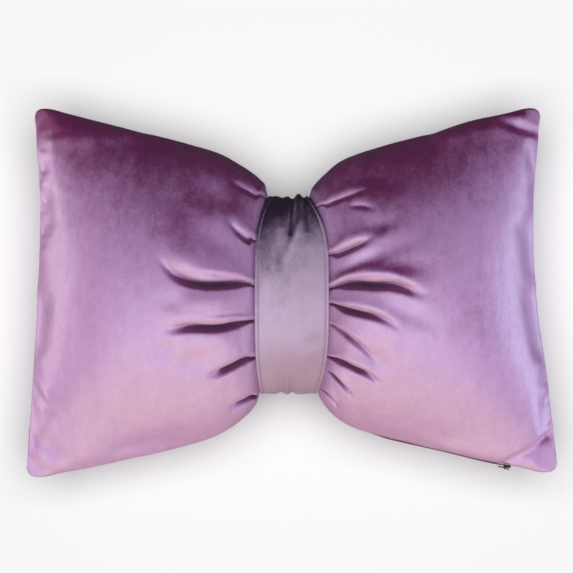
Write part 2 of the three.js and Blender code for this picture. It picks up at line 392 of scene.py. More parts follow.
# Shares of the way from the band to the end seam, and levels from the bottom of the end seam to its top.
SECTION_SHARES = (0, 0.01, 0.03, 0.07, 0.13, 0.2, 0.35, 0.5, 0.7, 0.85, 0.965, 0.985, 0.996, 1)
LEVELS = (-1, -0.5, 0, 0.5, 1)
LEFT = Lobe(
    name="left",
    side=-1,
    band_edge=(35, 22.6, 30.2),
    end_seam=Curve(LEVELS, (250, 244, 239.5, 237, 242.5)),
    top=Curve(
        SECTION_SHARES,
        (88, 100, 106, 113.5, 122, 130.5, 140.5, 148.5, 160, 168, 173, 171.7, 169, 165.5),
    ),
    bottom=Curve(
        SECTION_SHARES,
        (-92, -101, -109, -118, -128, -136, -146, -153.5, -163.5, -169.5, -173, -171.5, -168.5, -165),
    ),
    front_gathers=LEFT_GATHERS,
    back_gathers=RIGHT_GATHERS,
)
RIGHT = Lobe(
    name="right",
    side=1,
    band_edge=(34.5, 15.8, 24),
    end_seam=Curve(LEVELS, (250, 240, 229.5, 227.5, 234)),
    top=Curve(
        SECTION_SHARES,
        (88, 96.5, 103, 112, 123, 130, 140, 148, 162, 168.5, 173.5, 172.3, 169.5, 166),
    ),
    bottom=Curve(
        SECTION_SHARES,
        (-92, -99, -106, -116, -125, -131, -139.5, -147, -158, -164.5, -168.5, -167, -164, -160.5),
    ),
    front_gathers=RIGHT_GATHERS,
    back_gathers=LEFT_GATHERS,
)


@dataclass(frozen=True)
class FoldProfile:
    """The section of a gather, cut across it and read downwards over the face.

    place is the distance from the crease on the plain face, for a shaded wall of reference_width. along is
    where the folded cloth lies. out is how far a sharp fold stands out, and easy how far a soft wave does,
    as a share of the fold's depth. Above the crease the cloth is a roll that hangs over it, and below it a
    wall that eases into the face.
    """

    reference_width: float = 10.0
    place: tuple[float, ...] = (
        -38, -29, -21, -14, -9, -5.8, -3.5, -1.8, -0.8, -0.3,
        0, 0.3, 0.8, 1.6, 2.8, 4.2, 5.8, 7.2, 8.6, 10.5,
    )
    along: tuple[float, ...] = (
        -38, -29, -21, -14, -9, -5.7, -3.2, -1.3, -0.2, 0.1,
        0, -0.2, 0.2, 1.4, 2.8, 4.2, 5.8, 7.2, 8.6, 10.5,
    )
    out: tuple[float, ...] = (
        0, 0.05, 0.13, 0.24, 0.32, 0.27, 0.13, -0.03, -0.2, -0.36,
        -0.6, -0.82, -0.97, -0.97, -0.82, -0.59, -0.31, -0.11, -0.02, 0,
    )
    easy: tuple[float, ...] = (
        0, 0.04, 0.1, 0.19, 0.27, 0.23, 0.1, -0.08, -0.22, -0.3,
        -0.35, -0.39, -0.44, -0.49, -0.48, -0.38, -0.22, -0.09, -0.02, 0,
    )

    def slide(self, place: Array) -> Array:
        """How far the cloth has slid over the face at a place, in millimetres at the reference width."""
        inside = (place > self.place[0]) & (place < self.place[-1])
        return np.where(inside, Curve(self.place, self.along)(place) - place, 0)

    def rise(self, place: Array, sharp: Array) -> Array:
        """How far the cloth stands out at a place.

        Args:
            place: Where, at the reference width.
            sharp: How sharply the cloth is folded there, from 0 for a soft wave to 1 for a crease.

        Returns:
            The height over the face, as a share of the fold's depth.
        """
        return Curve(self.place, self.out)(place) * sharp + Curve(self.place, self.easy)(place) * (1 - sharp)


# Patches where the cushion's colour is lighter or deeper: partly brushed pile, partly painted light near the
# band and painted shade in hollows and corners.
BRUSH_AND_SHADE_PATCHES = (
    BrushAndShadePatch((-75, -16), (55, 22), 0.55),
    BrushAndShadePatch((-48, -70), (28, 40), 0.6),
    BrushAndShadePatch((58, -46), (38, 44), 0.85),
    BrushAndShadePatch((-105, 48), (60, 22), 0.22),
    BrushAndShadePatch((125, 50), (75, 38), 0.25),
    BrushAndShadePatch((130, -65), (75, 45), -0.35),
    BrushAndShadePatch((-150, -145), (55, 20), -0.6),
    BrushAndShadePatch((-212, 142), (36, 28), -0.55),
    BrushAndShadePatch((-110, 66), (22, 15), -0.5),
    BrushAndShadePatch((226, 138), (26, 38), -0.45),
    BrushAndShadePatch((238, -137), (16, 12), -0.45),
    BrushAndShadePatch((108, 25), (26, 8), -0.65),
    BrushAndShadePatch((-242, 160), (34, 17), -0.95),
)


class Face(Enum):
    """The two panels of the cover."""

    FRONT = 1
    BACK = -1


FILLING_SHARES = (0, 0.01, 0.03, 0.07, 0.13, 0.2, 0.35, 0.5, 0.65, 0.8, 0.9, 1)


@dataclass
class Settling:
    """A short cloth simulation of the plain cover, for the slack and the seam puckers of stuffed cloth."""

    frames: int = 16
    pressure: float = 0.5
    slack: float = 0.016
    pin_stiffness: float = 1.0
    mass: float = 1.0
    stiffness: float = 5
    bending: float = 3
    damping: float = 10
    quality: int = 10
    most: float = 5.0

    def moves(self, points: Array, quads: Quads, held: Array) -> Array:
        """Simulate the cover.

        Args:
            points: The plain cover's points, in millimetres.
            quads: Its faces.
            held: How firmly each point is held in its place, from 0 to 1.

        Returns:
            How far the simulation moves each point, in millimetres.
        """
        cover = link("cover_simulated", points, quads)
        pins = cover.vertex_groups.new(name="held")
        for index, weight in enumerate(held):
            pins.add([index], float(weight), "REPLACE")
        bpy.ops.object.select_all(action="DESELECT")
        bpy.context.view_layer.objects.active = cover
        cloth = cover.modifiers.new("cloth", "CLOTH")
        cloth.settings.quality = self.quality
        cloth.settings.mass = self.mass
        cloth.settings.bending_stiffness = self.bending
        for name in ("tension", "compression", "shear"):
            setattr(cloth.settings, f"{name}_stiffness", self.stiffness)
            setattr(cloth.settings, f"{name}_damping", self.damping)
        cloth.settings.shrink_min = -self.slack
        cloth.settings.vertex_group_mass = "held"
        cloth.settings.pin_stiffness = self.pin_stiffness
        cloth.settings.use_pressure = True
        cloth.settings.uniform_pressure_force = self.pressure
        cloth.settings.effector_weights.gravity = 0
        cloth.point_cache.frame_start = 1
        cloth.point_cache.frame_end = self.frames
        scene = bpy.context.scene
        for frame_number in range(1, self.frames + 1):
            scene.frame_set(frame_number)
        shape = cover.evaluated_get(bpy.context.evaluated_depsgraph_get()).data
        settled = np.zeros(len(points) * 3)
        shape.vertices.foreach_get("co", settled)
        moved = settled.reshape(-1, 3) / MM - points
        bpy.data.objects.remove(cover)
        scene.frame_set(1)
        far = np.linalg.norm(moved, axis=1, keepdims=True)
        LOG.info("settling moved the cover by %.1f mm at most, %.1f mm in the mean", far.max(), far.mean())
        # A move is drawn in smoothly towards the most that is allowed.
        return moved * np.minimum(1, self.most * np.tanh(far / self.most) / np.maximum(far, TINY))


@dataclass
class Cushion:
    """The stuffed cover: two panels that meet in an edge seam, drawn in at the waist.

    front and back are how far the panels stand out of the seams' plane along a lobe, and seam_sharpness is
    how sharply they meet. The coarse grid is the cloth that is simulated. It grows firmer from slack_from to
    slack_to from the seams, and it is slack only towards the end seam, from free_from to free_to of the way.
    The fine grid carries the gathers. Its columns are closer near the band, and its rows near the creases
    and the seams. The gathers ease into even rows from calm_from to calm_to of the way.
    """

    front: Curve = Curve(FILLING_SHARES, (44, 48, 52, 57, 62, 66, 68, 66, 59, 45, 29, 0))
    back: Curve = Curve(FILLING_SHARES, (42, 45, 49, 54, 58, 62, 65, 64, 58, 44, 29, 0))
    seam_sharpness: Curve = Curve(
        FILLING_SHARES, (1, 1.02, 1.05, 1.1, 1.2, 1.3, 1.45, 1.55, 1.6, 1.6, 1.55, 1.5)
    )
    fill: float = 0.85
    coarse_columns: int = 44
    coarse_rows: int = 61
    coarse_steps: int = 500
    slack_from: float = 5
    slack_to: float = 70
    free_from: float = 0.3
    free_to: float = 0.65
    seam_hold: float = 0.5
    corner_hold: float = 0.8
    columns: int = 92
    column_spacing: Curve = Curve((0, 0.1, 0.3, 0.55, 0.8, 1), (0.9, 1.4, 2.1, 3.2, 3.0, 1.8))
    corner_shares: tuple[float, ...] = (0.962, 0.975, 0.985, 0.992, 0.997, 1)
    least_column: float = 0.005
    rows: int = 228
    fine_steps: int = 900
    share_steps: int = 2001
    row_steps: int = 6001
    crease_spacing: float = 0.6
    near_spacing: float = 0.8
    near_reach: tuple[float, float] = (2, 9)
    open_spacing: float = 1.8
    open_reach: tuple[float, float] = (9, 24)
    seam_rows: tuple[float, ...] = (0.6, 1.3, 2.2, 3.4)
    seam_margin: float = 1.4
    reference_length: float = 330
    reference_across: float = 55
    reference_share: float = 0.12
    reference_steps: int = 400
    least_spacing: float = 9
    least_apart: float = 5
    crease_margin: float = 0.01
    crease_smoothing: int = 4
    calm_from: float = 0.35
    calm_to: float = 0.95
    seam_relief: float = 0.25
    seam_reach: float = 7
    shade_from: tuple[float, float] = (-0.04, 0.05)
    shade_to: tuple[float, float] = (0.25, 1.0)
    profile: FoldProfile = field(default_factory=FoldProfile)

    def column_shares(self) -> Array:
        """Divide the way from the band to the end seam.

        Returns:
            The share of the way at which each column lies.
        """
        fine = np.linspace(0, 1, self.share_steps)
        shares = self.crowded(fine, self.column_spacing(fine), self.columns)
        before_corner = shares < self.corner_shares[0] - self.least_column
        return np.concatenate([shares[before_corner], self.corner_shares])

    @staticmethod
    def crowded(places: Array, spacing: Array, count: int) -> Array:
        """Divide a line into parts.

        Args:
            places: Places along the line.
            spacing: How wide a part is at each of them, in any unit.
            count: How many parts there are.

        Returns:
            The ends of the parts, one more than there are parts.
        """
        density = 1 / spacing
        total = np.concatenate([[0], np.cumsum((density[1:] + density[:-1]) / 2)])
        return np.interp(np.linspace(0, total[-1], count + 1), total, places)

    def section(self, lobe: Lobe, share: float, angle: Array) -> Array:
        """Draw one plain section of a lobe, with no gathers.

        Args:
            lobe: The lobe.
            share: The share of the way from the band to the end seam.
            angle: Angles round the section, 0 at the top seam and half a turn at the bottom seam.

        Returns:
            A point for each angle, in millimetres.
        """
        level, lift = np.cos(angle), np.sin(angle)
        top, bottom = lobe.top(share), lobe.bottom(share)
        out = np.where(lift > 0, self.front(share), self.back(share))
        across = lobe.edge(level) * (1 - share) + lobe.end_seam(level) * share
        height = SEAM_HEIGHT + out * np.sign(lift) * np.abs(lift) ** self.seam_sharpness(share)
        up = (top + bottom) / 2 + (top - bottom) / 2 * level
        return np.stack([lobe.side * across, up, height], axis=1)

    def crease_rows(self, lobe: Lobe, gathers: Gathers) -> Array:
        """Give each gather a row of its own.

        Args:
            lobe: The lobe.
            gathers: The gathers of one of its faces.

        Returns:
            Each gather's row, as a share of the way down the face.
        """
        line = self.section(lobe, self.reference_share, np.linspace(0, np.pi, self.reference_steps))
        length = lengths_along(line)
        at = np.array([fold.height(np.array(self.reference_across)) for fold in gathers.folds], float)
        shares = np.interp(-at, -line[:, 1], length) / length[-1]
        least = self.least_spacing / self.reference_length
        for i in range(1, len(shares)):
            shares[i] = max(shares[i], shares[i - 1] + least)
        return shares

    def row_shares(self, creases: Array) -> Array:
        """Divide the way down a face, with closer rows round the gathers and one row on each crease.

        Args:
            creases: The creases' own rows.

        Returns:
            The share of the way at which each row lies.
        """
        fine = np.linspace(0, 1, self.row_steps)
        away = np.abs(fine[:, None] - creases[None]).min(axis=1) * self.reference_length
        spacing = self.crease_spacing + self.near_spacing * smooth_step(*self.near_reach, away)
        spacing += self.open_spacing * smooth_step(*self.open_reach, away)
        rows = self.crowded(fine, spacing, self.rows)
        for crease in creases:
            rows[np.abs(rows - crease).argmin()] = crease
        inset = np.array(self.seam_rows) / self.reference_length
        margin = inset[-1] * self.seam_margin
        between = rows[(rows > margin) & (rows < 1 - margin)]
        return np.concatenate([[0], inset, between, 1 - inset[::-1], [1]])

    def plain_points(self, lobe: Lobe, face: Face) -> Array:
        """Lay out a lobe's front or back with no gathers, on a coarse and even grid.

        Args:
            lobe: The lobe.
            face: Which panel.

        Returns:
            Points by column, from the band, and by row, from the top seam, in millimetres.
        """
        grid = []
        for share in self.coarse_shares():
            line = self.section(lobe, share, np.linspace(0, np.pi, self.coarse_steps) * face.value)
            length = lengths_along(line)
            grid.append(read_along(line, length, np.linspace(0, length[-1], self.coarse_rows)))
        return np.array(grid)

    def coarse_shares(self) -> Array:
        """The shares of the way to the end seam at which the simulated cloth is divided."""
        return np.linspace(0, 1, self.coarse_columns)

    def settle(self) -> Grids:
        """Let the plain cover settle over its filling.

        Returns:
            How far the simulation moves each point of each coarse face, in millimetres.
        """
        grids = {(lobe.name, face): self.plain_points(lobe, face) for lobe in (LEFT, RIGHT) for face in Face}
        points, quads, ids = self.assemble(grids)
        held = np.ones(len(points))
        for key, own in ids.items():
            held[own] = self.hold(grids[key])
        for own in ids.values():
            for seam in (own[:, 0], own[:, -1], own[-1]):
                held[seam] = np.maximum(held[seam], self.seam_hold)
            held[own[-2:, :2]] = held[own[-2:, -2:]] = self.corner_hold
        moves = Settling().moves(points, quads, held)
        settled = {}
        for key, own in ids.items():
            smooth_across = self.smooth_down(moves[own], 1).swapaxes(0, 1)
            settled[key] = self.smooth_down(smooth_across, 1).swapaxes(0, 1)
        return settled

    def hold(self, grid: Array) -> Array:
        """Tell how firmly the filling holds a coarse face.

        Args:
            grid: The face's points.

        Returns:
            Each point's hold, from 0 where the cloth is slack to 1.
        """
        run = np.linalg.norm(np.diff(grid, axis=1), axis=2)
        down = np.concatenate([np.zeros((len(grid), 1)), np.cumsum(run, axis=1)], axis=1)
        slack = 1 - smooth_step(self.slack_from, self.slack_to, self.seam_distance(grid, down))
        return 1 - slack * smooth_step(self.free_from, self.free_to, self.coarse_shares())[:, None]

    @staticmethod
    def seam_distance(grid: Array, down: Array) -> Array:
        """How far each point of a face is from its nearest seam. down is how far down the face it lies."""
        end = np.linalg.norm(grid - grid[-1:], axis=2)
        return np.minimum(np.minimum(down, down[:, -1:] - down), end)

    def read_settled(self, table: Array, shares: Array, spots: Array) -> Array:
        """Read a coarse face's moves smoothly at the points of the fine one.

        Args:
            table: The moves, by coarse column and row.
            shares: Each fine column's share of the way to the end seam.
            spots: Each fine point's share of the way down the face.

        Returns:
            The moves, by fine column and row.
        """
        column = np.interp(shares, self.coarse_shares(), np.arange(self.coarse_columns))[:, None]
        row = spots * (self.coarse_rows - 1)
        total = np.zeros((*spots.shape, 3))
        for step_across in range(-1, 3):
            for step_down in range(-1, 3):
                c, weight_c = self.cubic_weight(column, step_across, self.coarse_columns)
                r, weight_r = self.cubic_weight(row, step_down, self.coarse_rows)
                total += table[np.broadcast_to(c, r.shape), r] * (weight_c * weight_r)[..., None]
        return total

    @staticmethod
    def cubic_weight(at: Array, step: int, count: int) -> tuple[Array, Array]:
        """Find a neighbour in a table, for a smooth reading between its places.

        Args:
            at: Where the table is read.
            step: Which neighbour, from -1 to 2. 0 is the place before and 1 the place after.
            count: How many places the table has.

        Returns:
            The neighbour's number, and its weight.
        """
        low = np.clip(np.floor(at), 0, count - 2)
        f = at - low
        weight = {
            -1: -0.5 * f**3 + f**2 - 0.5 * f,
            0: 1.5 * f**3 - 2.5 * f**2 + 1,
            1: -1.5 * f**3 + 2 * f**2 + 0.5 * f,
            2: 0.5 * f**3 - 0.5 * f**2,
        }[step]
        return np.clip(low + step, 0, count - 1).astype(int), weight

    def face_points(self, lobe: Lobe, face: Face, settled: Array) -> tuple[Array, Array]:
        """Lay out a lobe's front or back with its gathers.

        Args:
            lobe: The lobe.
            face: Which panel.
            settled: How far the simulation moves the coarse face.

        Returns:
            Points by column, from the band, and by row, from the top seam, in millimetres, and how deep in a
            crease each one lies.
        """
        gathers = lobe.front_gathers if face is Face.FRONT else lobe.back_gathers
        shares, creases = self.column_shares(), self.crease_rows(lobe, gathers)
        rows = self.row_shares(creases)
        angles = np.linspace(0, np.pi, self.fine_steps) * face.value
        lengths = np.zeros(len(shares))
        places = np.zeros((len(shares), len(creases)))
        lines = []
        for c, share in enumerate(shares):
            line = self.section(lobe, share, angles)
            length = lengths_along(line)
            lengths[c] = length[-1]
            lines.append((line, length / length[-1]))
            across = np.abs(line[:, 0])
            for k, fold in enumerate(gathers.folds):
                drop = fold.height(across) - line[:, 1]
                places[c, k] = np.interp(0, np.maximum.accumulate(drop), lines[c][1])
        places = self.smooth_down(places, self.crease_smoothing)
        for k in range(1, len(creases)):
            places[:, k] = np.maximum(places[:, k], places[:, k - 1] + self.least_apart / lengths)
        places = np.clip(places, self.crease_margin, 1 - self.crease_margin)
        grid = np.zeros((len(shares), len(rows), 3))
        spots = np.zeros((len(shares), len(rows)))
        even = np.linspace(0, 1, len(rows))
        calm = smooth_step(self.calm_from, self.calm_to, shares)
        for c in range(len(shares)):
            line, along = lines[c]
            fitted = np.interp(rows, [0, *creases, 1], [0, *places[c], 1])
            spots[c] = fitted * (1 - calm[c]) + even * calm[c]
            grid[c] = read_along(line, along, spots[c])
        down, creases = spots * lengths[:, None], places * lengths[:, None]
        moved = grid + self.gathered(face, gathers, grid, down, creases)
        moved += self.read_settled(settled, shares, spots)
        return moved, self.crease_crush_and_shade_mask(gathers, np.abs(grid[..., 0]), down, creases)

    @staticmethod
    def smooth_down(values: Array, reach: int) -> Array:
        """Smooth a table along its first direction.

        Args:
            values: The table.
            reach: How many places on either side count.

        Returns:
            The smoothed table. Its ends stay where they are.
        """
        weights = np.hanning(2 * reach + 3)[1:-1]
        beyond = [(reach, reach), *[(0, 0)] * (values.ndim - 1)]
        padded = np.pad(values, beyond, mode="reflect", reflect_type="odd")
        return sum(w * padded[k : k + len(values)] for k, w in enumerate(weights / weights.sum()))

    def gathered(self, face: Face, gathers: Gathers, grid: Array, down: Array, creases: Array) -> Array:
        """Move each point of a plain face by its gathers.

        Args:
            face: Which panel.
            gathers: The panel's gathers.
            grid: The plain face's points.
            down: How far down the face each point lies.
            creases: How far down the face each crease lies, by column and crease.

        Returns:
            The move of each point, in millimetres.
        """
        downward = unit(np.gradient(grid, axis=1))
        normal = unit(np.cross(np.gradient(grid, axis=0), downward))
        normal *= np.where((normal[..., 2] * face.value < 0)[..., None], -1, 1)
        across = np.abs(grid[..., 0])
        slide, rise = np.zeros(across.shape), np.zeros(across.shape)
        for k, fold in enumerate(gathers.folds):
            share = fold.share(across)
            sharp = fold.sharpness(share)
            beyond = down - creases[:, k : k + 1]
            spread = np.where(beyond > 0, fold.wall_spread(share), fold.roll_spread(share))
            spread *= fold.width / self.profile.reference_width
            strength = fold.strength(share)
            place = beyond / spread
            slide += self.profile.slide(place) * strength * sharp * spread
            out = self.profile.rise(place, sharp) * strength * fold.depth
            rise += np.where(out > 0, out * fold.roll, out)
        for trough in gathers.troughs:
            rise -= trough.depth_at(across, grid[..., 1])
        from_seam = smooth_step(0, self.seam_reach, self.seam_distance(grid, down))
        rise *= self.seam_relief + (1 - self.seam_relief) * from_seam
        return slide[..., None] * downward + rise[..., None] * normal

    def crease_crush_and_shade_mask(self, gathers: Gathers, across: Array, down: Array, creases: Array) -> Array:
        """Tell how deep in a crease each point lies, for the crease's duller pile and its painted shade.

        Args:
            gathers: The panel's gathers.
            across: Each point's distance from the middle line.
            down: How far down the face each point lies.
            creases: How far down the face each crease lies, by column and crease.

        Returns:
            Each point's depth, from 0 on the open face to 1.
        """
        total = np.zeros(across.shape)
        for k, fold in enumerate(gathers.folds):
            share = fold.share(across)
            place = (down - creases[:, k : k + 1]) / (fold.wall_spread(share) * fold.width)
            shape = smooth_step(*self.shade_from, place) * (1 - smooth_step(*self.shade_to, place))
            total = np.maximum(total, shape * fold.strength(share) * fold.sharpness(share))
        return total

    def build(self) -> bpy.types.Object:
        """Make the cover's mesh.

        Returns:
            The cushion's object.
        """
        settled = self.settle()
        made = {
            (lobe.name, face): self.face_points(lobe, face, settled[lobe.name, face])
            for lobe in (LEFT, RIGHT)
            for face in Face
        }
        points, quads, ids = self.assemble({key: grid for key, (grid, _) in made.items()})
        points[:, 2] = np.maximum(points[:, 2], 0)
        # How deep in a crease each point lies: a duller pile and painted shade there.
        crush = np.zeros(len(points))
        for key, own in ids.items():
            crush[own] = np.maximum(crush[own], made[key][1])
        piece = link("cushion_velvet", points + FRAME_SHIFT, quads)
        piece.data.materials.append(MAUVE.material())
        # Painted light and shade by slope, with the patches of brushed pile and painted light and shade.
        Velvet.paint_shading(piece, low=0.04, high=0.75, brush_and_shade_patches=BRUSH_AND_SHADE_PATCHES)
        piece.data.attributes.new("crush", "FLOAT", "POINT").data.foreach_set("value", crush)
        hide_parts("cushion")
        return piece

    def assemble(self, grids: Grids) -> tuple[Array, Quads, Grids]:
        """Sew the four faces into one closed cover.

        Args:
            grids: Each face's points by column and row, under its lobe's name and its face.

        Returns:
            The cover's points, its faces and, for each panel, the numbers of its points by column and row.
        """
        points: list[Array] = []
        quads: Quads = []
        ids: Grids = {}
        count = 0
        for lobe in (LEFT, RIGHT):
            front, back = grids[lobe.name, Face.FRONT], grids[lobe.name, Face.BACK]
            columns, rows = front.shape[:2]
            front_ids = np.arange(columns * rows).reshape(columns, rows) + count
            inner = back[:-1, 1:-1]
            inner_ids = np.arange(inner[..., 0].size).reshape(inner.shape[:2])
            back_ids = front_ids.copy()
            back_ids[:-1, 1:-1] = inner_ids + count + front_ids.size
            points.extend([front.reshape(-1, 3), inner.reshape(-1, 3)])
            count += front_ids.size + inner_ids.size
            quads.extend(self.strips(front_ids, lobe.side))
            quads.extend(self.strips(back_ids, -lobe.side))
            ids[lobe.name, Face.FRONT], ids[lobe.name, Face.BACK] = front_ids, back_ids
        for face in Face:
            necks = np.stack([ids["left", face][0], ids["right", face][0]])
            quads.extend(self.strips(necks, face.value))
        return np.concatenate(points), quads, ids

    @staticmethod
    def strips(ids: Array, turn: int) -> Quads:
        """Join the columns of a grid of points by faces.

        Args:
            ids: The points' numbers, by column and row.
            turn: 1 for faces that go round one way, -1 for the other.

        Returns:
            The faces. One with two corners in the same place has three corners.
        """
        faces = []
        for c in range(ids.shape[0] - 1):
            for r in range(ids.shape[1] - 1):
                quad = (ids[c, r], ids[c, r + 1], ids[c + 1, r + 1], ids[c + 1, r])
                quad = quad if turn > 0 else quad[::-1]
                corners = tuple(int(v) for v in dict.fromkeys(quad))
                if len(corners) > 2:
                    faces.append(corners)
        return faces


def link(name: str, points: Array, faces: Quads) -> bpy.types.Object:
    """Make a smooth mesh object from points in millimetres.

    Args:
        name: The piece's name.
        points: Its points.
        faces: Its faces, as numbers of points.

    Returns:
        The object.
    """
    mesh = bpy.data.meshes.new(name)
    mesh.from_pydata(points * MM, [], faces)
    mesh.validate()
    mesh.polygons.foreach_set("use_smooth", np.ones(len(mesh.polygons), bool))
    piece = bpy.data.objects.new(name, mesh)
    bpy.context.scene.collection.objects.link(piece)
    return piece


def copies(name: str, pattern: bpy.types.Object, places: Array, turns: Array) -> bpy.types.Object:
    """Make one mesh of many copies of a small pattern.

    Args:
        name: The piece's name.
        pattern: The pattern, in millimetres. It's removed.
        places: Where each copy's origin goes.
        turns: For each copy, the directions that the pattern's X, Y and Z take.

    Returns:
        The object.
    """
    mesh = pattern.data
    own = np.zeros(len(mesh.vertices) * 3)
    mesh.vertices.foreach_get("co", own)
    own = own.reshape(-1, 3)
    points = (np.einsum("vk,nkd->nvd", own, turns) + places[:, None]).reshape(-1, 3)
    polygons = [tuple(polygon.vertices) for polygon in mesh.polygons]
    faces = [tuple(v + n * len(own) for v in face) for n in range(len(places)) for face in polygons]
    bpy.data.objects.remove(pattern)
    return link(name, points, faces)


def edit_whole(piece: bpy.types.Object) -> None:
    """Open a piece for edit operators, with nothing else selected and its whole mesh selected.

    Args:
        piece: The piece.
    """
    bpy.ops.object.select_all(action="DESELECT")
    piece.select_set(True)
    bpy.context.view_layer.objects.active = piece
    bpy.ops.object.mode_set(mode="EDIT")
    bpy.ops.mesh.select_all(action="SELECT")


def seam_point(lobe: Lobe, share: float) -> Array:
    """Find a place on a lobe's lower seam.

    Args:
        lobe: The lobe.
        share: The share of the way from the band to the end seam.

    Returns:
        The place, in the frame's own millimetres.
    """
    return Cushion().section(lobe, share, np.array([np.pi]))[0] + FRAME_SHIFT


@dataclass
class Band:
    """The doubled strip of velvet round the waist, its edges turned under and stitched down.

    reach is how far the waist goes up and down from its middle. The strip's heights over the waist are those
    of edge_heights at edge_insets from its edges, and field_height between them. Its pleats move only the
    cloth that lies free, between the stitched edges.
    """

    middle: float = -2
    reach: float = 90
    front: float = 44
    back: float = 42
    clear: float = 0.35
    side_gap: float = 0.3
    steps: int = 280
    fine_steps: int = 4001
    field_columns: int = 46
    edge_insets: tuple[float, ...] = (0, 0.1, 0.3, 0.7, 1.3, 2.0, 2.6, 3.0, 3.4, 3.8, 4.3, 5.0, 6.0)
    edge_heights: tuple[float, ...] = (0.9, 1.6, 2.3, 2.7, 2.9, 2.9, 2.7, 2.35, 2.0, 2.1, 2.4, 2.6, 2.7)
    field_height: float = 2.75
    inner_columns: int = 12
    inner_gap: float = 0.25
    free_from: float = 1.5
    free_to: float = 7
    free_height: float = 2.0
    flat_width: float = 0.07
    flat_length: float = 0.47
    # Painted light that grows across the strip, per metre from its left edge to its right.
    painted_light_slope: float = 5.5
    stitch_inset: float = 3.4
    stitch_pitch: float = 3.3
    stitch_length: float = 2.5
    stitch_width: float = 0.55
    stitch_height: float = 2.2
    stitch_step: float = 0.01
    pleats: tuple[Trough, ...] = (
        Trough((1.5, 112), (-1.5, 56), 3.2, 2.6),
        Trough((11, 112), (14, 60), 2.4, 2.8),
        Trough((7, 112), (5, 56), -2.4, 3),
        Trough((6, 66), (-4, 34), -1.8, 3.6),
        Trough((-10, 62), (-13, 24), 2, 4),
        Trough((-9, 112), (-9, 66), 1.4, 3),
        Trough((-11, -112), (-9, -70), 1.5, 3),
        Trough((1, -112), (0, -74), 1.6, 2.8),
        Trough((-5, -112), (-4.5, -76), -0.8, 3),
        Trough((20, -112), (17, -78), 0.8, 3.5),
        Trough((8, -112), (7, -50), -0.7, 6),
        Trough((-16, -80), (-20, -20), 0.6, 7),
        Trough((-30, 14), (-17, 14), -1.8, 14),
        Trough((14, -40), (22, -52), 0.7, 9),
    )

    def ring(self, angle: Array) -> tuple[Array, Array, Array, Array]:
        """Go round the waist.

        Args:
            angle: Angles round it, 0 at the top and a quarter turn at the front.

        Returns:
            Each place's height on the bow, its height over the surface, and the two parts of its outward
            direction.
        """
        level, lift = np.cos(angle), np.sin(angle)
        out = np.where(lift > 0, self.front, self.back)
        outward = np.stack([level / self.reach, lift / out])
        outward /= np.linalg.norm(outward, axis=0)
        return self.middle + self.reach * level, SEAM_HEIGHT + out * lift, outward[0], outward[1]

    def edges(self, level: Array) -> tuple[Array, Array]:
        """Where the strip's left and right edges lie at a level."""
        return -LEFT.edge(level) + self.side_gap, RIGHT.edge(level) - self.side_gap

    def relief(self, x: Array, y: Array) -> Array:
        """How far the pleats lower the cloth at a place of the front."""
        return sum(pleat.depth_at(x, y) for pleat in self.pleats)

    def surface(self, x: Array, inset: Array, height: Array, angle: Array) -> Array:
        """Place points of the strip.

        Args:
            x: Where across the strip.
            inset: How far from the nearer edge.
            height: How far over the waist the flat cloth lies there.
            angle: Where round the waist.

        Returns:
            The points, in millimetres.
        """
        y, z, out_y, out_z = self.ring(angle)
        free = smooth_step(self.free_from, self.free_to, inset)
        free = free * smooth_step(self.clear, self.free_height, height)
        pressed = np.minimum(self.relief(x, y + out_y * height), np.maximum(height - self.clear, 0))
        lift = self.clear + height - pressed * free
        return np.stack([x, y + out_y * lift, z + out_z * lift], axis=-1) + FRAME_SHIFT

    def strip(self) -> bpy.types.Object:
        """Make the doubled strip, its outer layer with both turned edges and its inner layer.

        Returns:
            The strip's object.
        """
        angle = np.linspace(0, 2 * np.pi, self.steps, endpoint=False)[:, None]
        left, right = self.edges(np.cos(angle))
        inset = np.array(self.edge_insets)[None]
        edge_height = np.broadcast_to(np.array(self.edge_heights)[None], (self.steps, inset.size))
        first, last = left + inset[:, -1:], right - inset[:, -1:]
        field_x = first + (last - first) * np.linspace(0, 1, self.field_columns + 2)[1:-1][None]
        field_height = np.full(field_x.shape, self.field_height)
        inner = np.linspace(0, 1, self.inner_columns)[None]
        inner_x = right - self.inner_gap - (right - left - 2 * self.inner_gap) * inner
        inner_height = np.zeros(inner_x.shape)
        x = np.concatenate([left + inset, field_x, (right - inset)[:, ::-1], inner_x], axis=1)
        height = np.concatenate([edge_height, field_height, edge_height[:, ::-1], inner_height], axis=1)
        from_edge = np.minimum(x - left, right - x)
        points = self.surface(x, from_edge, height, np.broadcast_to(angle, x.shape))
        ids = np.arange(x.size).reshape(x.shape)
        after, beside = np.roll(ids, -1, axis=0), np.roll(ids, -1, axis=1)
        corners = np.stack([ids, after, np.roll(after, -1, axis=1), beside], axis=-1).reshape(-1, 4)
        return link("band_velvet", points.reshape(-1, 3), [tuple(map(int, face)) for face in corners])

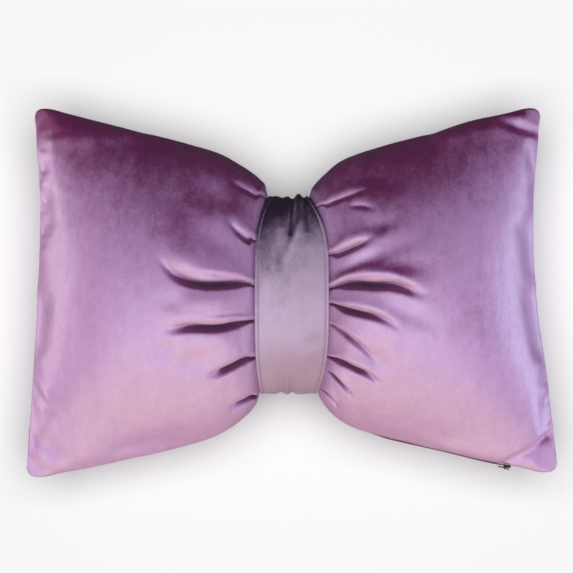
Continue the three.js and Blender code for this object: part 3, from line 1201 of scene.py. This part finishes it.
    def stitches(self) -> bpy.types.Object:
        """Make the two rows of stitches that hold the turned edges down.

        Returns:
            The stitches, as one object.
        """
        fine = np.linspace(0, 2 * np.pi, self.fine_steps)
        run = lengths_along(np.stack(self.ring(fine)[:2], axis=1))
        count = round(run[-1] / self.stitch_pitch)
        angle = np.interp(np.arange(count) * run[-1] / count, run, fine)
        _, _, out_y, out_z = self.ring(angle)
        out = np.stack([np.zeros(count), out_y, out_z], axis=1)
        left, right = self.edges(np.cos(angle))
        inset, height = np.full(count, self.stitch_inset), np.full(count, self.stitch_height)
        places, turns = [], []
        for x in (left + self.stitch_inset, right - self.stitch_inset):
            before = self.surface(x, inset, height, angle - self.stitch_step)
            after = self.surface(x, inset, height, angle + self.stitch_step)
            along = unit(after - before)
            turns.append(np.stack([along, np.cross(out, along), out], axis=1))
            places.append(self.surface(x, inset, height, angle))
        bpy.ops.object.select_all(action="DESELECT")
        bpy.ops.mesh.primitive_uv_sphere_add(segments=8, ring_count=5, radius=0.5)
        stitch = bpy.context.active_object
        edit_whole(stitch)
        bpy.ops.transform.resize(value=(self.stitch_length, self.stitch_width, self.stitch_width))
        bpy.ops.object.mode_set(mode="OBJECT")
        return copies("band_stitches", stitch, np.concatenate(places), np.concatenate(turns))

    def build(self) -> list[bpy.types.Object]:
        """Make the band.

        Returns:
            The strip and its stitches.
        """
        strip, stitches = self.strip(), self.stitches()
        strip.data.materials.append(GREY_MAUVE.material())
        # Painted light and shade by the strip's slope, with painted light growing across it.
        Velvet.paint_shading(strip, low=0.0, high=0.72, painted_light_slope=self.painted_light_slope)
        stitches.data.materials.append(THREAD.material())
        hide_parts("band")
        return [strip, stitches]


@dataclass
class Zip:
    """The closed coil zip in the right lobe's lower seam, between two turned edges of the cover.

    start and end are shares of the seam's length. The zip rises out of the seam over tuck_share of it.
    """

    start: float = 0.2
    end: float = 0.775
    steps: int = 90
    fine_steps: int = 400
    clear: float = 0.3
    tuck: float = 1.8
    tuck_share: float = 0.11
    tape_width: float = 3.0
    tape_thickness: float = 0.45
    tooth_pitch: float = 1.25
    tooth_size: tuple[float, float, float] = (0.85, 0.95, 1.9)
    tooth_bevel: float = 0.25
    tooth_sink: float = 0.15
    row_offset: float = 0.45
    lip_radius: float = 0.6
    lip_stretch: float = 1.2
    lip_depth: float = 0.95
    lip_spread: float = 2.1
    lip_sides: int = 12
    slider_bevel: float = 0.22
    pull_bevel: float = 0.16
    bevel_profile: float = 0.6
    flat_angle: float = 2
    smooth_angle: float = 35
    same_place: float = 0.01

    def line(self, shares: Array) -> tuple[Array, Array]:
        """Follow the seam that the zip is in.

        Args:
            shares: Shares of the seam's length.

        Returns:
            The zip's points there, and its directions.
        """
        points = np.array([seam_point(RIGHT, share) for share in shares])
        along = unit(np.gradient(points, axis=0))
        tucked = self.tuck * (1 - smooth_step(self.start, self.start + self.tuck_share, shares))
        return points - tucked[:, None] * np.cross(along, [0, 0, 1]), along

    def coil(self) -> bpy.types.Object:
        """Make the two rows of teeth, one row set between the other.

        Returns:
            The teeth, as one object.
        """
        fine, along = self.line(np.linspace(self.start, self.end, self.fine_steps))
        run = lengths_along(fine)
        count = int(run[-1] / self.tooth_pitch)
        first_row = np.arange(count) * self.tooth_pitch + self.tooth_pitch / 2
        depth = self.clear + self.tape_thickness + self.tooth_size[1] / 2 - self.tooth_sink
        places, turns = [], []
        for row in (0, 1):
            spots = first_row + row * self.tooth_pitch / 2
            x_axis = read_along(along, run, spots)
            z_axis = np.tile([0.0, 0.0, 1.0], (count, 1))
            out = np.cross(x_axis, z_axis)
            side = (row * 2 - 1) * self.row_offset
            places.append(read_along(fine, run, spots) + out * depth + z_axis * side)
            turns.append(np.stack([x_axis, out, z_axis], axis=1))
        bpy.ops.object.select_all(action="DESELECT")
        bpy.ops.mesh.primitive_cube_add(size=1)
        tooth = bpy.context.active_object
        edit_whole(tooth)
        bpy.ops.transform.resize(value=self.tooth_size)
        bpy.ops.mesh.bevel(offset=self.tooth_bevel, segments=2, profile=self.bevel_profile)
        bpy.ops.object.mode_set(mode="OBJECT")
        return copies("zip_coil", tooth, np.concatenate(places), np.concatenate(turns))

    def tape(self) -> bpy.types.Object:
        """Make the tape that carries the teeth.

        Returns:
            The tape's object.
        """
        half, thick, low = self.tape_width / 2, self.tape_thickness, self.clear
        section = np.array([(half, low), (half, low + thick), (-half, low + thick), (-half, low)])
        return self.swept("zip_tape", section)

    def lip(self, face: Face) -> bpy.types.Object:
        """Make the turned edge of one of the cover's panels.

        Args:
            face: Which panel.

        Returns:
            The edge's object.
        """
        turn = np.linspace(0, 2 * np.pi, self.lip_sides, endpoint=False)
        over = face.value * self.lip_spread + self.lip_radius * np.cos(turn)
        out = -self.lip_depth - self.lip_stretch * self.lip_radius * np.sin(turn)
        return self.swept(f"zip_lip_{face.name.lower()}", np.stack([over, out], axis=1))

    def swept(self, name: str, section: Array) -> bpy.types.Object:
        """Make a closed bar along the seam.

        Args:
            name: The piece's name.
            section: Its outline, as (height over the seam's level, distance out of the seam).

        Returns:
            The object.
        """
        points, along = self.line(np.linspace(self.start, self.end, self.steps))
        up = np.array([0, 0, 1])
        out = np.cross(along, up)
        rings = points[:, None] + section[None, :, 1:] * out[:, None] + section[None, :, :1] * up
        count = len(section)
        faces = [tuple(range(count))[::-1], tuple(range((self.steps - 1) * count, self.steps * count))]
        for i in range(self.steps - 1):
            for k in range(count):
                nearer, further = i * count + k, i * count + (k + 1) % count
                faces.append((nearer, further, further + count, nearer + count))
        piece = link(name, rings.reshape(-1, 3), faces)
        edit_whole(piece)
        bpy.ops.mesh.normals_make_consistent(inside=False)
        bpy.ops.object.mode_set(mode="OBJECT")
        return piece

    def rounded(self, node: str, name: str, bevel: float) -> bpy.types.Object:
        """Make a rounded copy of a hard piece of the frame.

        Args:
            node: The frame's node.
            name: The new piece's name.
            bevel: The width of its rounded edges, in millimetres.

        Returns:
            The new piece.
        """
        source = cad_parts[node]
        piece = bpy.data.objects.new(name, source.data.copy())
        bpy.context.scene.collection.objects.link(piece)
        edit_whole(piece)
        bpy.ops.mesh.remove_doubles(threshold=self.same_place * MM)
        bpy.ops.mesh.dissolve_limited(angle_limit=math.radians(self.flat_angle))
        bpy.ops.mesh.select_all(action="SELECT")
        bpy.ops.mesh.bevel(offset=bevel * MM, segments=2, profile=self.bevel_profile, clamp_overlap=True)
        bpy.ops.object.mode_set(mode="OBJECT")
        bpy.ops.object.shade_smooth_by_angle(angle=math.radians(self.smooth_angle))
        piece.data.materials.clear()
        return piece

    def build(self) -> list[bpy.types.Object]:
        """Make the zip.

        Returns:
            Its pieces.
        """
        coil, tape = self.coil(), self.tape()
        lips = [self.lip(face) for face in Face]
        slider = self.rounded("zip_slider", "zip_slider_cast", self.slider_bevel)
        pull = self.rounded("zip_pull", "zip_pull_tab", self.pull_bevel)
        nylon, metal, velvet = NYLON.material(), BLACK_METAL.material(), bpy.data.materials[MAUVE.name]
        for pieces, slot, finish in (
            ([coil, tape], "zip_tape", nylon),
            ([slider, pull], "zip_metal", metal),
            (lips, "velvet_mauve", velvet),
        ):
            for piece in pieces:
                piece.data.materials.append(finish)
        # Painted light and shade on the turned edges, by their slope.
        for piece in lips:
            Velvet.paint_shading(piece, low=0.0, high=0.75)
        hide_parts("zip_chain")
        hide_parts("zip_slider")
        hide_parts("zip_pull")
        return [coil, tape, *lips, slider, pull]


@dataclass(frozen=True)
class Grain:
    """One size of unevenness in a pile: its noise, and how far that turns, shades and lifts the pile."""

    stretch: tuple[float, float, float]
    scale: float
    detail: float
    rough: float
    turn: float
    shade: float
    height: float


PATCHES = Grain((16, 9, 12), scale=1, detail=3, rough=0.55, turn=0.55, shade=0, height=0.0022)
STREAKS = Grain((62, 16, 40), scale=1, detail=4, rough=0.6, turn=0.4, shade=0.2, height=0.0006)
TUFTS = Grain((1, 0.7, 1), scale=130, detail=5, rough=0.7, turn=0.5, shade=0.34, height=0.0003)
FIBRES = Grain((1, 1, 1), scale=900, detail=2, rough=0.5, turn=0.4, shade=0.4, height=0.00005)


@dataclass(frozen=True)
class PaintedPileShading:
    """A velvet's colour, with its painted light and shade and the uneven tone of its pile: one shader group,
    which every velvet uses with its own values.
    """

    name: str = "painted pile shading"
    grains: tuple[Grain, ...] = (PATCHES, STREAKS, TUFTS, FIBRES)
    # How far the painted shade in the creases lowers the colour's level.
    crease_shade_turn: float = 2.6

    def group(self) -> bpy.types.NodeTree:
        """Make the group, or find it where it's made already.

        Returns:
            The group. Colour is the pile's colour, with its painted light and shade, and Height its
            unevenness in metres.
        """
        if self.name in bpy.data.node_groups:
            return bpy.data.node_groups[self.name]
        tree = bpy.data.node_groups.new(self.name, "ShaderNodeTree")
        for label, kind in (
            ("Laid", "Float"),
            ("Deep", "Color"),
            ("Middle", "Color"),
            ("Bright", "Color"),
            ("Mottle", "Float"),
            ("Edge", "Float"),
            ("Crush", "Float"),
        ):
            tree.interface.new_socket(label, in_out="INPUT", socket_type=f"NodeSocket{kind}")
        tree.interface.new_socket("Colour", in_out="OUTPUT", socket_type="NodeSocketColor")
        tree.interface.new_socket("Height", in_out="OUTPUT", socket_type="NodeSocketFloat")
        given, result = tree.nodes.new("NodeGroupInput").outputs, tree.nodes.new("NodeGroupOutput").inputs
        noises = [(self.noise(tree, grain), grain) for grain in self.grains]

        # A noise lies round a half, so half of the shares is taken off.
        half_turn = sum(grain.turn for grain in self.grains) / 2
        uneven = self.sum_of(tree, [(noise, grain.turn) for noise, grain in noises], -half_turn)
        spread = self.maths(tree, "MULTIPLY", uneven, given["Mottle"])
        open_painted_shading = self.maths(tree, "ADD", spread, given["Laid"])
        # Painted shade in the creases turns the colour deeper.
        crease_shade_turn = self.maths(tree, "MULTIPLY", given["Crush"], self.crease_shade_turn)
        laid = self.maths(tree, "SUBTRACT", open_painted_shading, crease_shade_turn)

        # The colour goes from the deep colour, painted shade, to the middle one round 0.5, and from the
        # middle one to the lit colour, painted light, between 1 and 2.
        low = self.maths(tree, "SUBTRACT", 0.5, given["Edge"])
        high = self.maths(tree, "ADD", 0.5, given["Edge"])
        turned = self.blend(tree, laid, (low, high), (given["Deep"], given["Middle"]))
        colour = self.blend(tree, laid, (1.0, 2.0), (turned, given["Bright"]))

        half_shade = sum(grain.shade for grain in self.grains) / 2
        shades = [(noise, grain.shade) for noise, grain in noises if grain.shade]
        shade = self.sum_of(tree, shades, 1 - half_shade)
        # Uneven tone over the pile, with painted shade darkening the creases.
        left_by_crease_shade = self.maths(tree, "SUBTRACT", 1.0, given["Crush"])
        tone_and_crease_shade = tree.nodes.new("ShaderNodeHueSaturation")
        tree.links.new(colour, tone_and_crease_shade.inputs["Color"])
        tree.links.new(self.maths(tree, "MULTIPLY", shade, left_by_crease_shade), tone_and_crease_shade.inputs["Value"])
        tree.links.new(tone_and_crease_shade.outputs["Color"], result["Colour"])
        height = self.sum_of(tree, [(noise, grain.height) for noise, grain in noises], 0)
        tree.links.new(height, result["Height"])
        return tree

    @staticmethod
    def feed(
        tree: bpy.types.NodeTree, value: bpy.types.NodeSocket | float, socket: bpy.types.NodeSocket
    ) -> None:
        """Link a value to a socket, or set the socket to it where it's a number.

        Args:
            tree: The group.
            value: The value.
            socket: The socket.
        """
        if isinstance(value, bpy.types.NodeSocket):
            tree.links.new(value, socket)
        else:
            socket.default_value = value

    @classmethod
    def blend(
        cls,
        tree: bpy.types.NodeTree,
        at: bpy.types.NodeSocket,
        limits: tuple[bpy.types.NodeSocket | float, ...],
        colours: tuple[bpy.types.NodeSocket, ...],
    ) -> bpy.types.NodeSocket:
        """Turn one colour smoothly into another.

        Args:
            tree: The group.
            at: The value that the turn follows.
            limits: Where the turn starts and where it ends.
            colours: The colours before and after it.

        Returns:
            The colour.
        """
        share, mix = tree.nodes.new("ShaderNodeMapRange"), tree.nodes.new("ShaderNodeMix")
        share.interpolation_type = "SMOOTHSTEP"
        mix.data_type = "RGBA"
        tree.links.new(at, share.inputs["Value"])
        for name, limit in zip(("From Min", "From Max"), limits):
            cls.feed(tree, limit, share.inputs[name])
        tree.links.new(share.outputs["Result"], mix.inputs["Factor"])
        for name, colour in zip("AB", colours):
            tree.links.new(colour, mix.inputs[name])
        return mix.outputs["Result"]

    @staticmethod
    def noise(tree: bpy.types.NodeTree, grain: Grain) -> bpy.types.NodeSocket:
        """Read a grain's noise at the piece's own coordinates, stretched along each axis.

        Args:
            tree: The group.
            grain: The grain.

        Returns:
            The noise, round a half.
        """
        place, mapping = tree.nodes.new("ShaderNodeTexCoord"), tree.nodes.new("ShaderNodeMapping")
        mapping.inputs["Scale"].default_value = grain.stretch
        noise = tree.nodes.new("ShaderNodeTexNoise")
        noise.inputs["Scale"].default_value = grain.scale
        noise.inputs["Detail"].default_value = grain.detail
        noise.inputs["Roughness"].default_value = grain.rough
        tree.links.new(place.outputs["Object"], mapping.inputs["Vector"])
        tree.links.new(mapping.outputs["Vector"], noise.inputs["Vector"])
        return noise.outputs["Fac"]

    @classmethod
    def maths(
        cls,
        tree: bpy.types.NodeTree,
        operation: str,
        first: bpy.types.NodeSocket | float,
        second: bpy.types.NodeSocket | float,
    ) -> bpy.types.NodeSocket:
        """Join two values by one operation.

        Args:
            tree: The group.
            operation: The operation.
            first: The first value.
            second: The second value.

        Returns:
            What the operation gives.
        """
        node = tree.nodes.new("ShaderNodeMath")
        node.operation = operation
        for socket, value in zip(node.inputs, (first, second)):
            cls.feed(tree, value, socket)
        return node.outputs["Value"]

    @classmethod
    def sum_of(
        cls,
        tree: bpy.types.NodeTree,
        parts: list[tuple[bpy.types.NodeSocket, float]],
        offset: float,
    ) -> bpy.types.NodeSocket:
        """Add values, each times its own share, to an offset.

        Args:
            tree: The group.
            parts: The values and their shares.
            offset: The offset.

        Returns:
            The sum.
        """
        total: bpy.types.NodeSocket | float = offset
        for value, share in parts:
            total = cls.maths(tree, "ADD", cls.maths(tree, "MULTIPLY", value, share), total)
        return total


@dataclass(frozen=True)
class Velvet:
    """A short-pile velvet. Its colour carries painted shade where the cloth faces up the bow and in creases,
    and painted light where it faces down the bow.
    """

    name: str
    # The deep colour is painted shade, the middle one the velvet's own colour, and the last one painted
    # light.
    deep: tuple[float, float, float]
    middle: tuple[float, float, float]
    bright: tuple[float, float, float]
    sheen_tint: tuple[float, float, float]
    mottle: float = 1.4
    edge: float = 0.56
    sheen: float = 0.08
    sheen_roughness: float = 0.4
    roughness: float = 0.48
    specular: float = 0.7
    ior: float = 1.9
    bump: float = 1.0
    # How strongly the creases are darkened with painted shade.
    crush: float = 0.58
    crushed_roughness: float = 0.85

    def material(self) -> bpy.types.Material:
        """Make the velvet's material.

        Returns:
            The material.
        """
        made = bpy.data.materials.new(self.name)
        made.use_nodes = True
        nodes, links = made.node_tree.nodes, made.node_tree.links
        shader = nodes["Principled BSDF"]
        shader.inputs["Sheen Weight"].default_value = self.sheen
        shader.inputs["Sheen Roughness"].default_value = self.sheen_roughness
        shader.inputs["Sheen Tint"].default_value = (*self.sheen_tint, 1)
        shader.inputs["Specular IOR Level"].default_value = self.specular
        shader.inputs["Specular Tint"].default_value = (*self.sheen_tint, 1)
        shader.inputs["IOR"].default_value = self.ior
        # The level of painted light and shade, set by the cloth's slope.
        laid = nodes.new("ShaderNodeAttribute")
        laid.attribute_name = "laid"
        pile = nodes.new("ShaderNodeGroup")
        pile.node_tree = PaintedPileShading().group()
        pile.inputs["Deep"].default_value = (*self.deep, 1)
        pile.inputs["Middle"].default_value = (*self.middle, 1)
        pile.inputs["Bright"].default_value = (*self.bright, 1)
        pile.inputs["Mottle"].default_value = self.mottle
        pile.inputs["Edge"].default_value = self.edge
        links.new(laid.outputs["Fac"], pile.inputs["Laid"])
        # Painted shade in the creases, and a duller pile there.
        crush, depth = nodes.new("ShaderNodeAttribute"), nodes.new("ShaderNodeMath")
        crush.attribute_name = "crush"
        depth.operation = "MULTIPLY"
        depth.inputs[1].default_value = self.crush
        links.new(crush.outputs["Fac"], depth.inputs[0])
        links.new(depth.outputs["Value"], pile.inputs["Crush"])
        dull = nodes.new("ShaderNodeMapRange")
        dull.inputs["To Min"].default_value = self.roughness
        dull.inputs["To Max"].default_value = self.crushed_roughness
        links.new(crush.outputs["Fac"], dull.inputs["Value"])
        links.new(dull.outputs["Result"], shader.inputs["Roughness"])
        links.new(pile.outputs["Colour"], shader.inputs["Base Color"])
        bump = nodes.new("ShaderNodeBump")
        bump.inputs["Distance"].default_value = 1
        bump.inputs["Strength"].default_value = self.bump
        links.new(pile.outputs["Height"], bump.inputs["Height"])
        links.new(bump.outputs["Normal"], shader.inputs["Normal"])
        return made

    @staticmethod
    def paint_shading(
        piece: bpy.types.Object,
        low: float,
        high: float,
        painted_light_slope: float = 0.0,
        brush_and_shade_patches: tuple[BrushAndShadePatch, ...] = (),
    ) -> None:
        """Paint light and shade into a piece's colour by its slope: painted shade where the cloth faces up
        the bow, painted light where it faces down it.

        Args:
            piece: The piece.
            low: How far the cloth may face up the bow before the painted shade starts.
            high: How far it faces up where the painted shade is full.
            painted_light_slope: How much painted light is added for each metre across the bow.
            brush_and_shade_patches: Patches of brushed pile and of painted light and shade.
        """
        mesh = piece.data
        facing, place = np.zeros(len(mesh.vertices) * 3), np.zeros(len(mesh.vertices) * 3)
        mesh.vertices.foreach_get("normal", facing)
        mesh.vertices.foreach_get("co", place)
        x, y, up = place[::3], place[1::3], facing[1::3]
        # Painted shade where the cloth faces up the bow, painted light where it faces down it, and painted
        # light growing across the bow.
        laid = 1 - smooth_step(low, high, up) + smooth_step(0, 0.5, -up) + painted_light_slope * x
        for brush_and_shade_patch in brush_and_shade_patches:
            laid += brush_and_shade_patch.at(x / MM, y / MM)
        mesh.attributes.new("laid", "FLOAT", "POINT").data.foreach_set("value", laid)


# Each velvet's deep colour is painted shade and its last colour painted light.
MAUVE = Velvet(
    "velvet_mauve",
    deep=(0.19, 0.014, 0.11),
    middle=(0.43, 0.233, 0.442),
    bright=(0.46, 0.255, 0.405),
    sheen_tint=(0.86, 0.84, 1.0),
)
# The band's near-black deep colour is painted shade on its upward face.
GREY_MAUVE = Velvet(
    "velvet_band",
    deep=(0.04, 0.022, 0.048),
    middle=(0.46, 0.36, 0.48),
    bright=(0.33, 0.22, 0.285),
    sheen_tint=(0.84, 0.84, 1.0),
    edge=0.5,
    mottle=0.9,
    specular=0.3,
)


@dataclass(frozen=True)
class Plain:
    """A finish of one colour with a little unevenness: thread, nylon or metal."""

    name: str
    colour: tuple[float, float, float]
    roughness: float
    metallic: float = 0.0
    uneven: float = 0.12
    uneven_roughness: float = 0.1
    scale: float = 900

    def material(self) -> bpy.types.Material:
        """Make the finish's material.

        Returns:
            The material.
        """
        made = bpy.data.materials.new(self.name)
        made.use_nodes = True
        nodes, links = made.node_tree.nodes, made.node_tree.links
        shader = nodes["Principled BSDF"]
        shader.inputs["Metallic"].default_value = self.metallic
        place, noise = nodes.new("ShaderNodeTexCoord"), nodes.new("ShaderNodeTexNoise")
        noise.inputs["Scale"].default_value = self.scale
        links.new(place.outputs["Object"], noise.inputs["Vector"])
        mix = nodes.new("ShaderNodeMix")
        mix.data_type = "RGBA"
        mix.inputs["A"].default_value = (*(c * (1 - self.uneven) for c in self.colour), 1)
        mix.inputs["B"].default_value = (*(c * (1 + self.uneven) for c in self.colour), 1)
        links.new(noise.outputs["Fac"], mix.inputs["Factor"])
        links.new(mix.outputs["Result"], shader.inputs["Base Color"])
        dull = nodes.new("ShaderNodeMapRange")
        dull.inputs["To Min"].default_value = self.roughness - self.uneven_roughness
        dull.inputs["To Max"].default_value = self.roughness + self.uneven_roughness
        links.new(noise.outputs["Fac"], dull.inputs["Value"])
        links.new(dull.outputs["Result"], shader.inputs["Roughness"])
        return made


THREAD = Plain("thread", (0.24, 0.17, 0.25), 0.6)
NYLON = Plain("nylon", (0.17, 0.07, 0.1), 0.6)
BLACK_METAL = Plain("black metal", (0.022, 0.018, 0.016), 0.55, metallic=0.6)


@dataclass(frozen=True)
class Lamp:
    """A soft rectangular light that looks at a point, in metres and watts."""

    name: str
    place: tuple[float, float, float]
    target: tuple[float, float, float]
    size: tuple[float, float]
    power: float
    colour: tuple[float, float, float]
    specular: float = 1.0

    def build(self) -> bpy.types.Object:
        """Make the light.

        Returns:
            Its object.
        """
        data = bpy.data.lights.new(self.name, "AREA")
        data.shape = "RECTANGLE"
        data.size, data.size_y = self.size
        data.energy, data.color, data.specular_factor = self.power, self.colour, self.specular
        light = bpy.data.objects.new(self.name, data)
        light.location = self.place
        light.rotation_euler = (Vector(self.target) - Vector(self.place)).to_track_quat("-Z", "Y").to_euler()
        bpy.context.scene.collection.objects.link(light)
        return light


OVERHEAD = Lamp("overhead", (-0.12, -0.75, 2.2), (0, 0, 0.05), (3.2, 1.5), 58, (0.88, 0.84, 1))
KEY = Lamp("key", (-0.3, -1.6, 1.0), (0, 0, 0.05), (3.2, 1.0), 22, (1, 0.88, 0.56))
LEFT_FILL = Lamp("left", (-1.5, 0.05, 0.1), (-0.2, 0, 0.05), (0.9, 0.4), 10.5, (1, 0.86, 0.85), 0.25)
RIGHT_FILL = Lamp("right", (1.5, -0.1, 0.22), (0.2, 0, 0.05), (0.9, 0.5), 11.5, (0.75, 0.83, 1), 0.25)
CEILING = Lamp("ceiling", (0, 0, 2.6), (0, 0, 0), (3.2, 3.2), 100, (1, 1, 1))


@dataclass
class Studio:
    """The floor, the lights and the camera. The camera looks straight down at the face."""

    photo_width: float = 573
    millimetres_per_pixel: float = 0.943
    photo_middle: tuple[float, float] = (292, 292.5)
    camera_distance: float = 1.9
    sensor: float = 36
    lamps: tuple[Lamp, ...] = (OVERHEAD, KEY, LEFT_FILL, RIGHT_FILL)
    world_colour: tuple[float, float, float] = (0.8, 0.82, 1)
    world_strength: float = 0.008
    floor_size: float = 6
    floor_colour: tuple[float, float, float] = (0.9, 0.9, 0.9)

    def build(self) -> None:
        """Make everything. The ceiling lights only the floor, and the other lamps all but the floor."""
        self.camera()
        lights = [lamp.build() for lamp in self.lamps]
        self.world()
        floor = self.floor()
        on_floor = bpy.data.collections.new("lit floor")
        on_floor.objects.link(floor)
        off_floor = bpy.data.collections.new("unlit floor")
        off_floor.objects.link(floor)
        off_floor.collection_objects[0].light_linking.link_state = "EXCLUDE"
        for light in lights:
            light.light_linking.receiver_collection = off_floor
        CEILING.build().light_linking.receiver_collection = on_floor
        bpy.context.scene.view_settings.view_transform = "Standard"

    def camera(self) -> None:
        """Set the camera up over the photo's middle."""
        view = self.photo_width * self.millimetres_per_pixel * MM
        data = bpy.data.cameras.new("camera")
        data.sensor_width = self.sensor
        data.lens = self.sensor * self.camera_distance / view
        camera = bpy.data.objects.new("camera", data)
        half = self.photo_width / 2
        camera.location = (
            (half - self.photo_middle[0]) * self.millimetres_per_pixel * MM,
            (self.photo_middle[1] - half) * self.millimetres_per_pixel * MM,
            SEAM_HEIGHT * MM + self.camera_distance,
        )
        bpy.context.scene.collection.objects.link(camera)
        bpy.context.scene.camera = camera

    def world(self) -> None:
        """Make the faint light from all round."""
        world = bpy.data.worlds.new("studio")
        world.use_nodes = True
        background = world.node_tree.nodes["Background"]
        background.inputs["Color"].default_value = (*self.world_colour, 1)
        background.inputs["Strength"].default_value = self.world_strength
        bpy.context.scene.world = world

    def floor(self) -> bpy.types.Object:
        """Make the white floor, which no glossy piece mirrors.

        Returns:
            The floor's object.
        """
        bpy.ops.mesh.primitive_plane_add(size=self.floor_size, location=(0, 0, 0))
        floor = bpy.context.active_object
        floor.name = "floor"
        paper = bpy.data.materials.new("paper")
        paper.use_nodes = True
        base = paper.node_tree.nodes["Principled BSDF"].inputs["Base Color"]
        base.default_value = (*self.floor_colour, 1)
        floor.data.materials.append(paper)
        floor.visible_glossy = False
        return floor


def main() -> None:
    """Build the cushion and its studio."""
    logging.basicConfig(level=logging.INFO)
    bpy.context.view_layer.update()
    Studio().build()
    for piece in [Cushion().build(), *Band().build(), *Zip().build()]:
        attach(piece, "root")
        LOG.info("%s: %d faces", piece.name, len(piece.data.polygons))


if __name__ == "__main__":
    main()
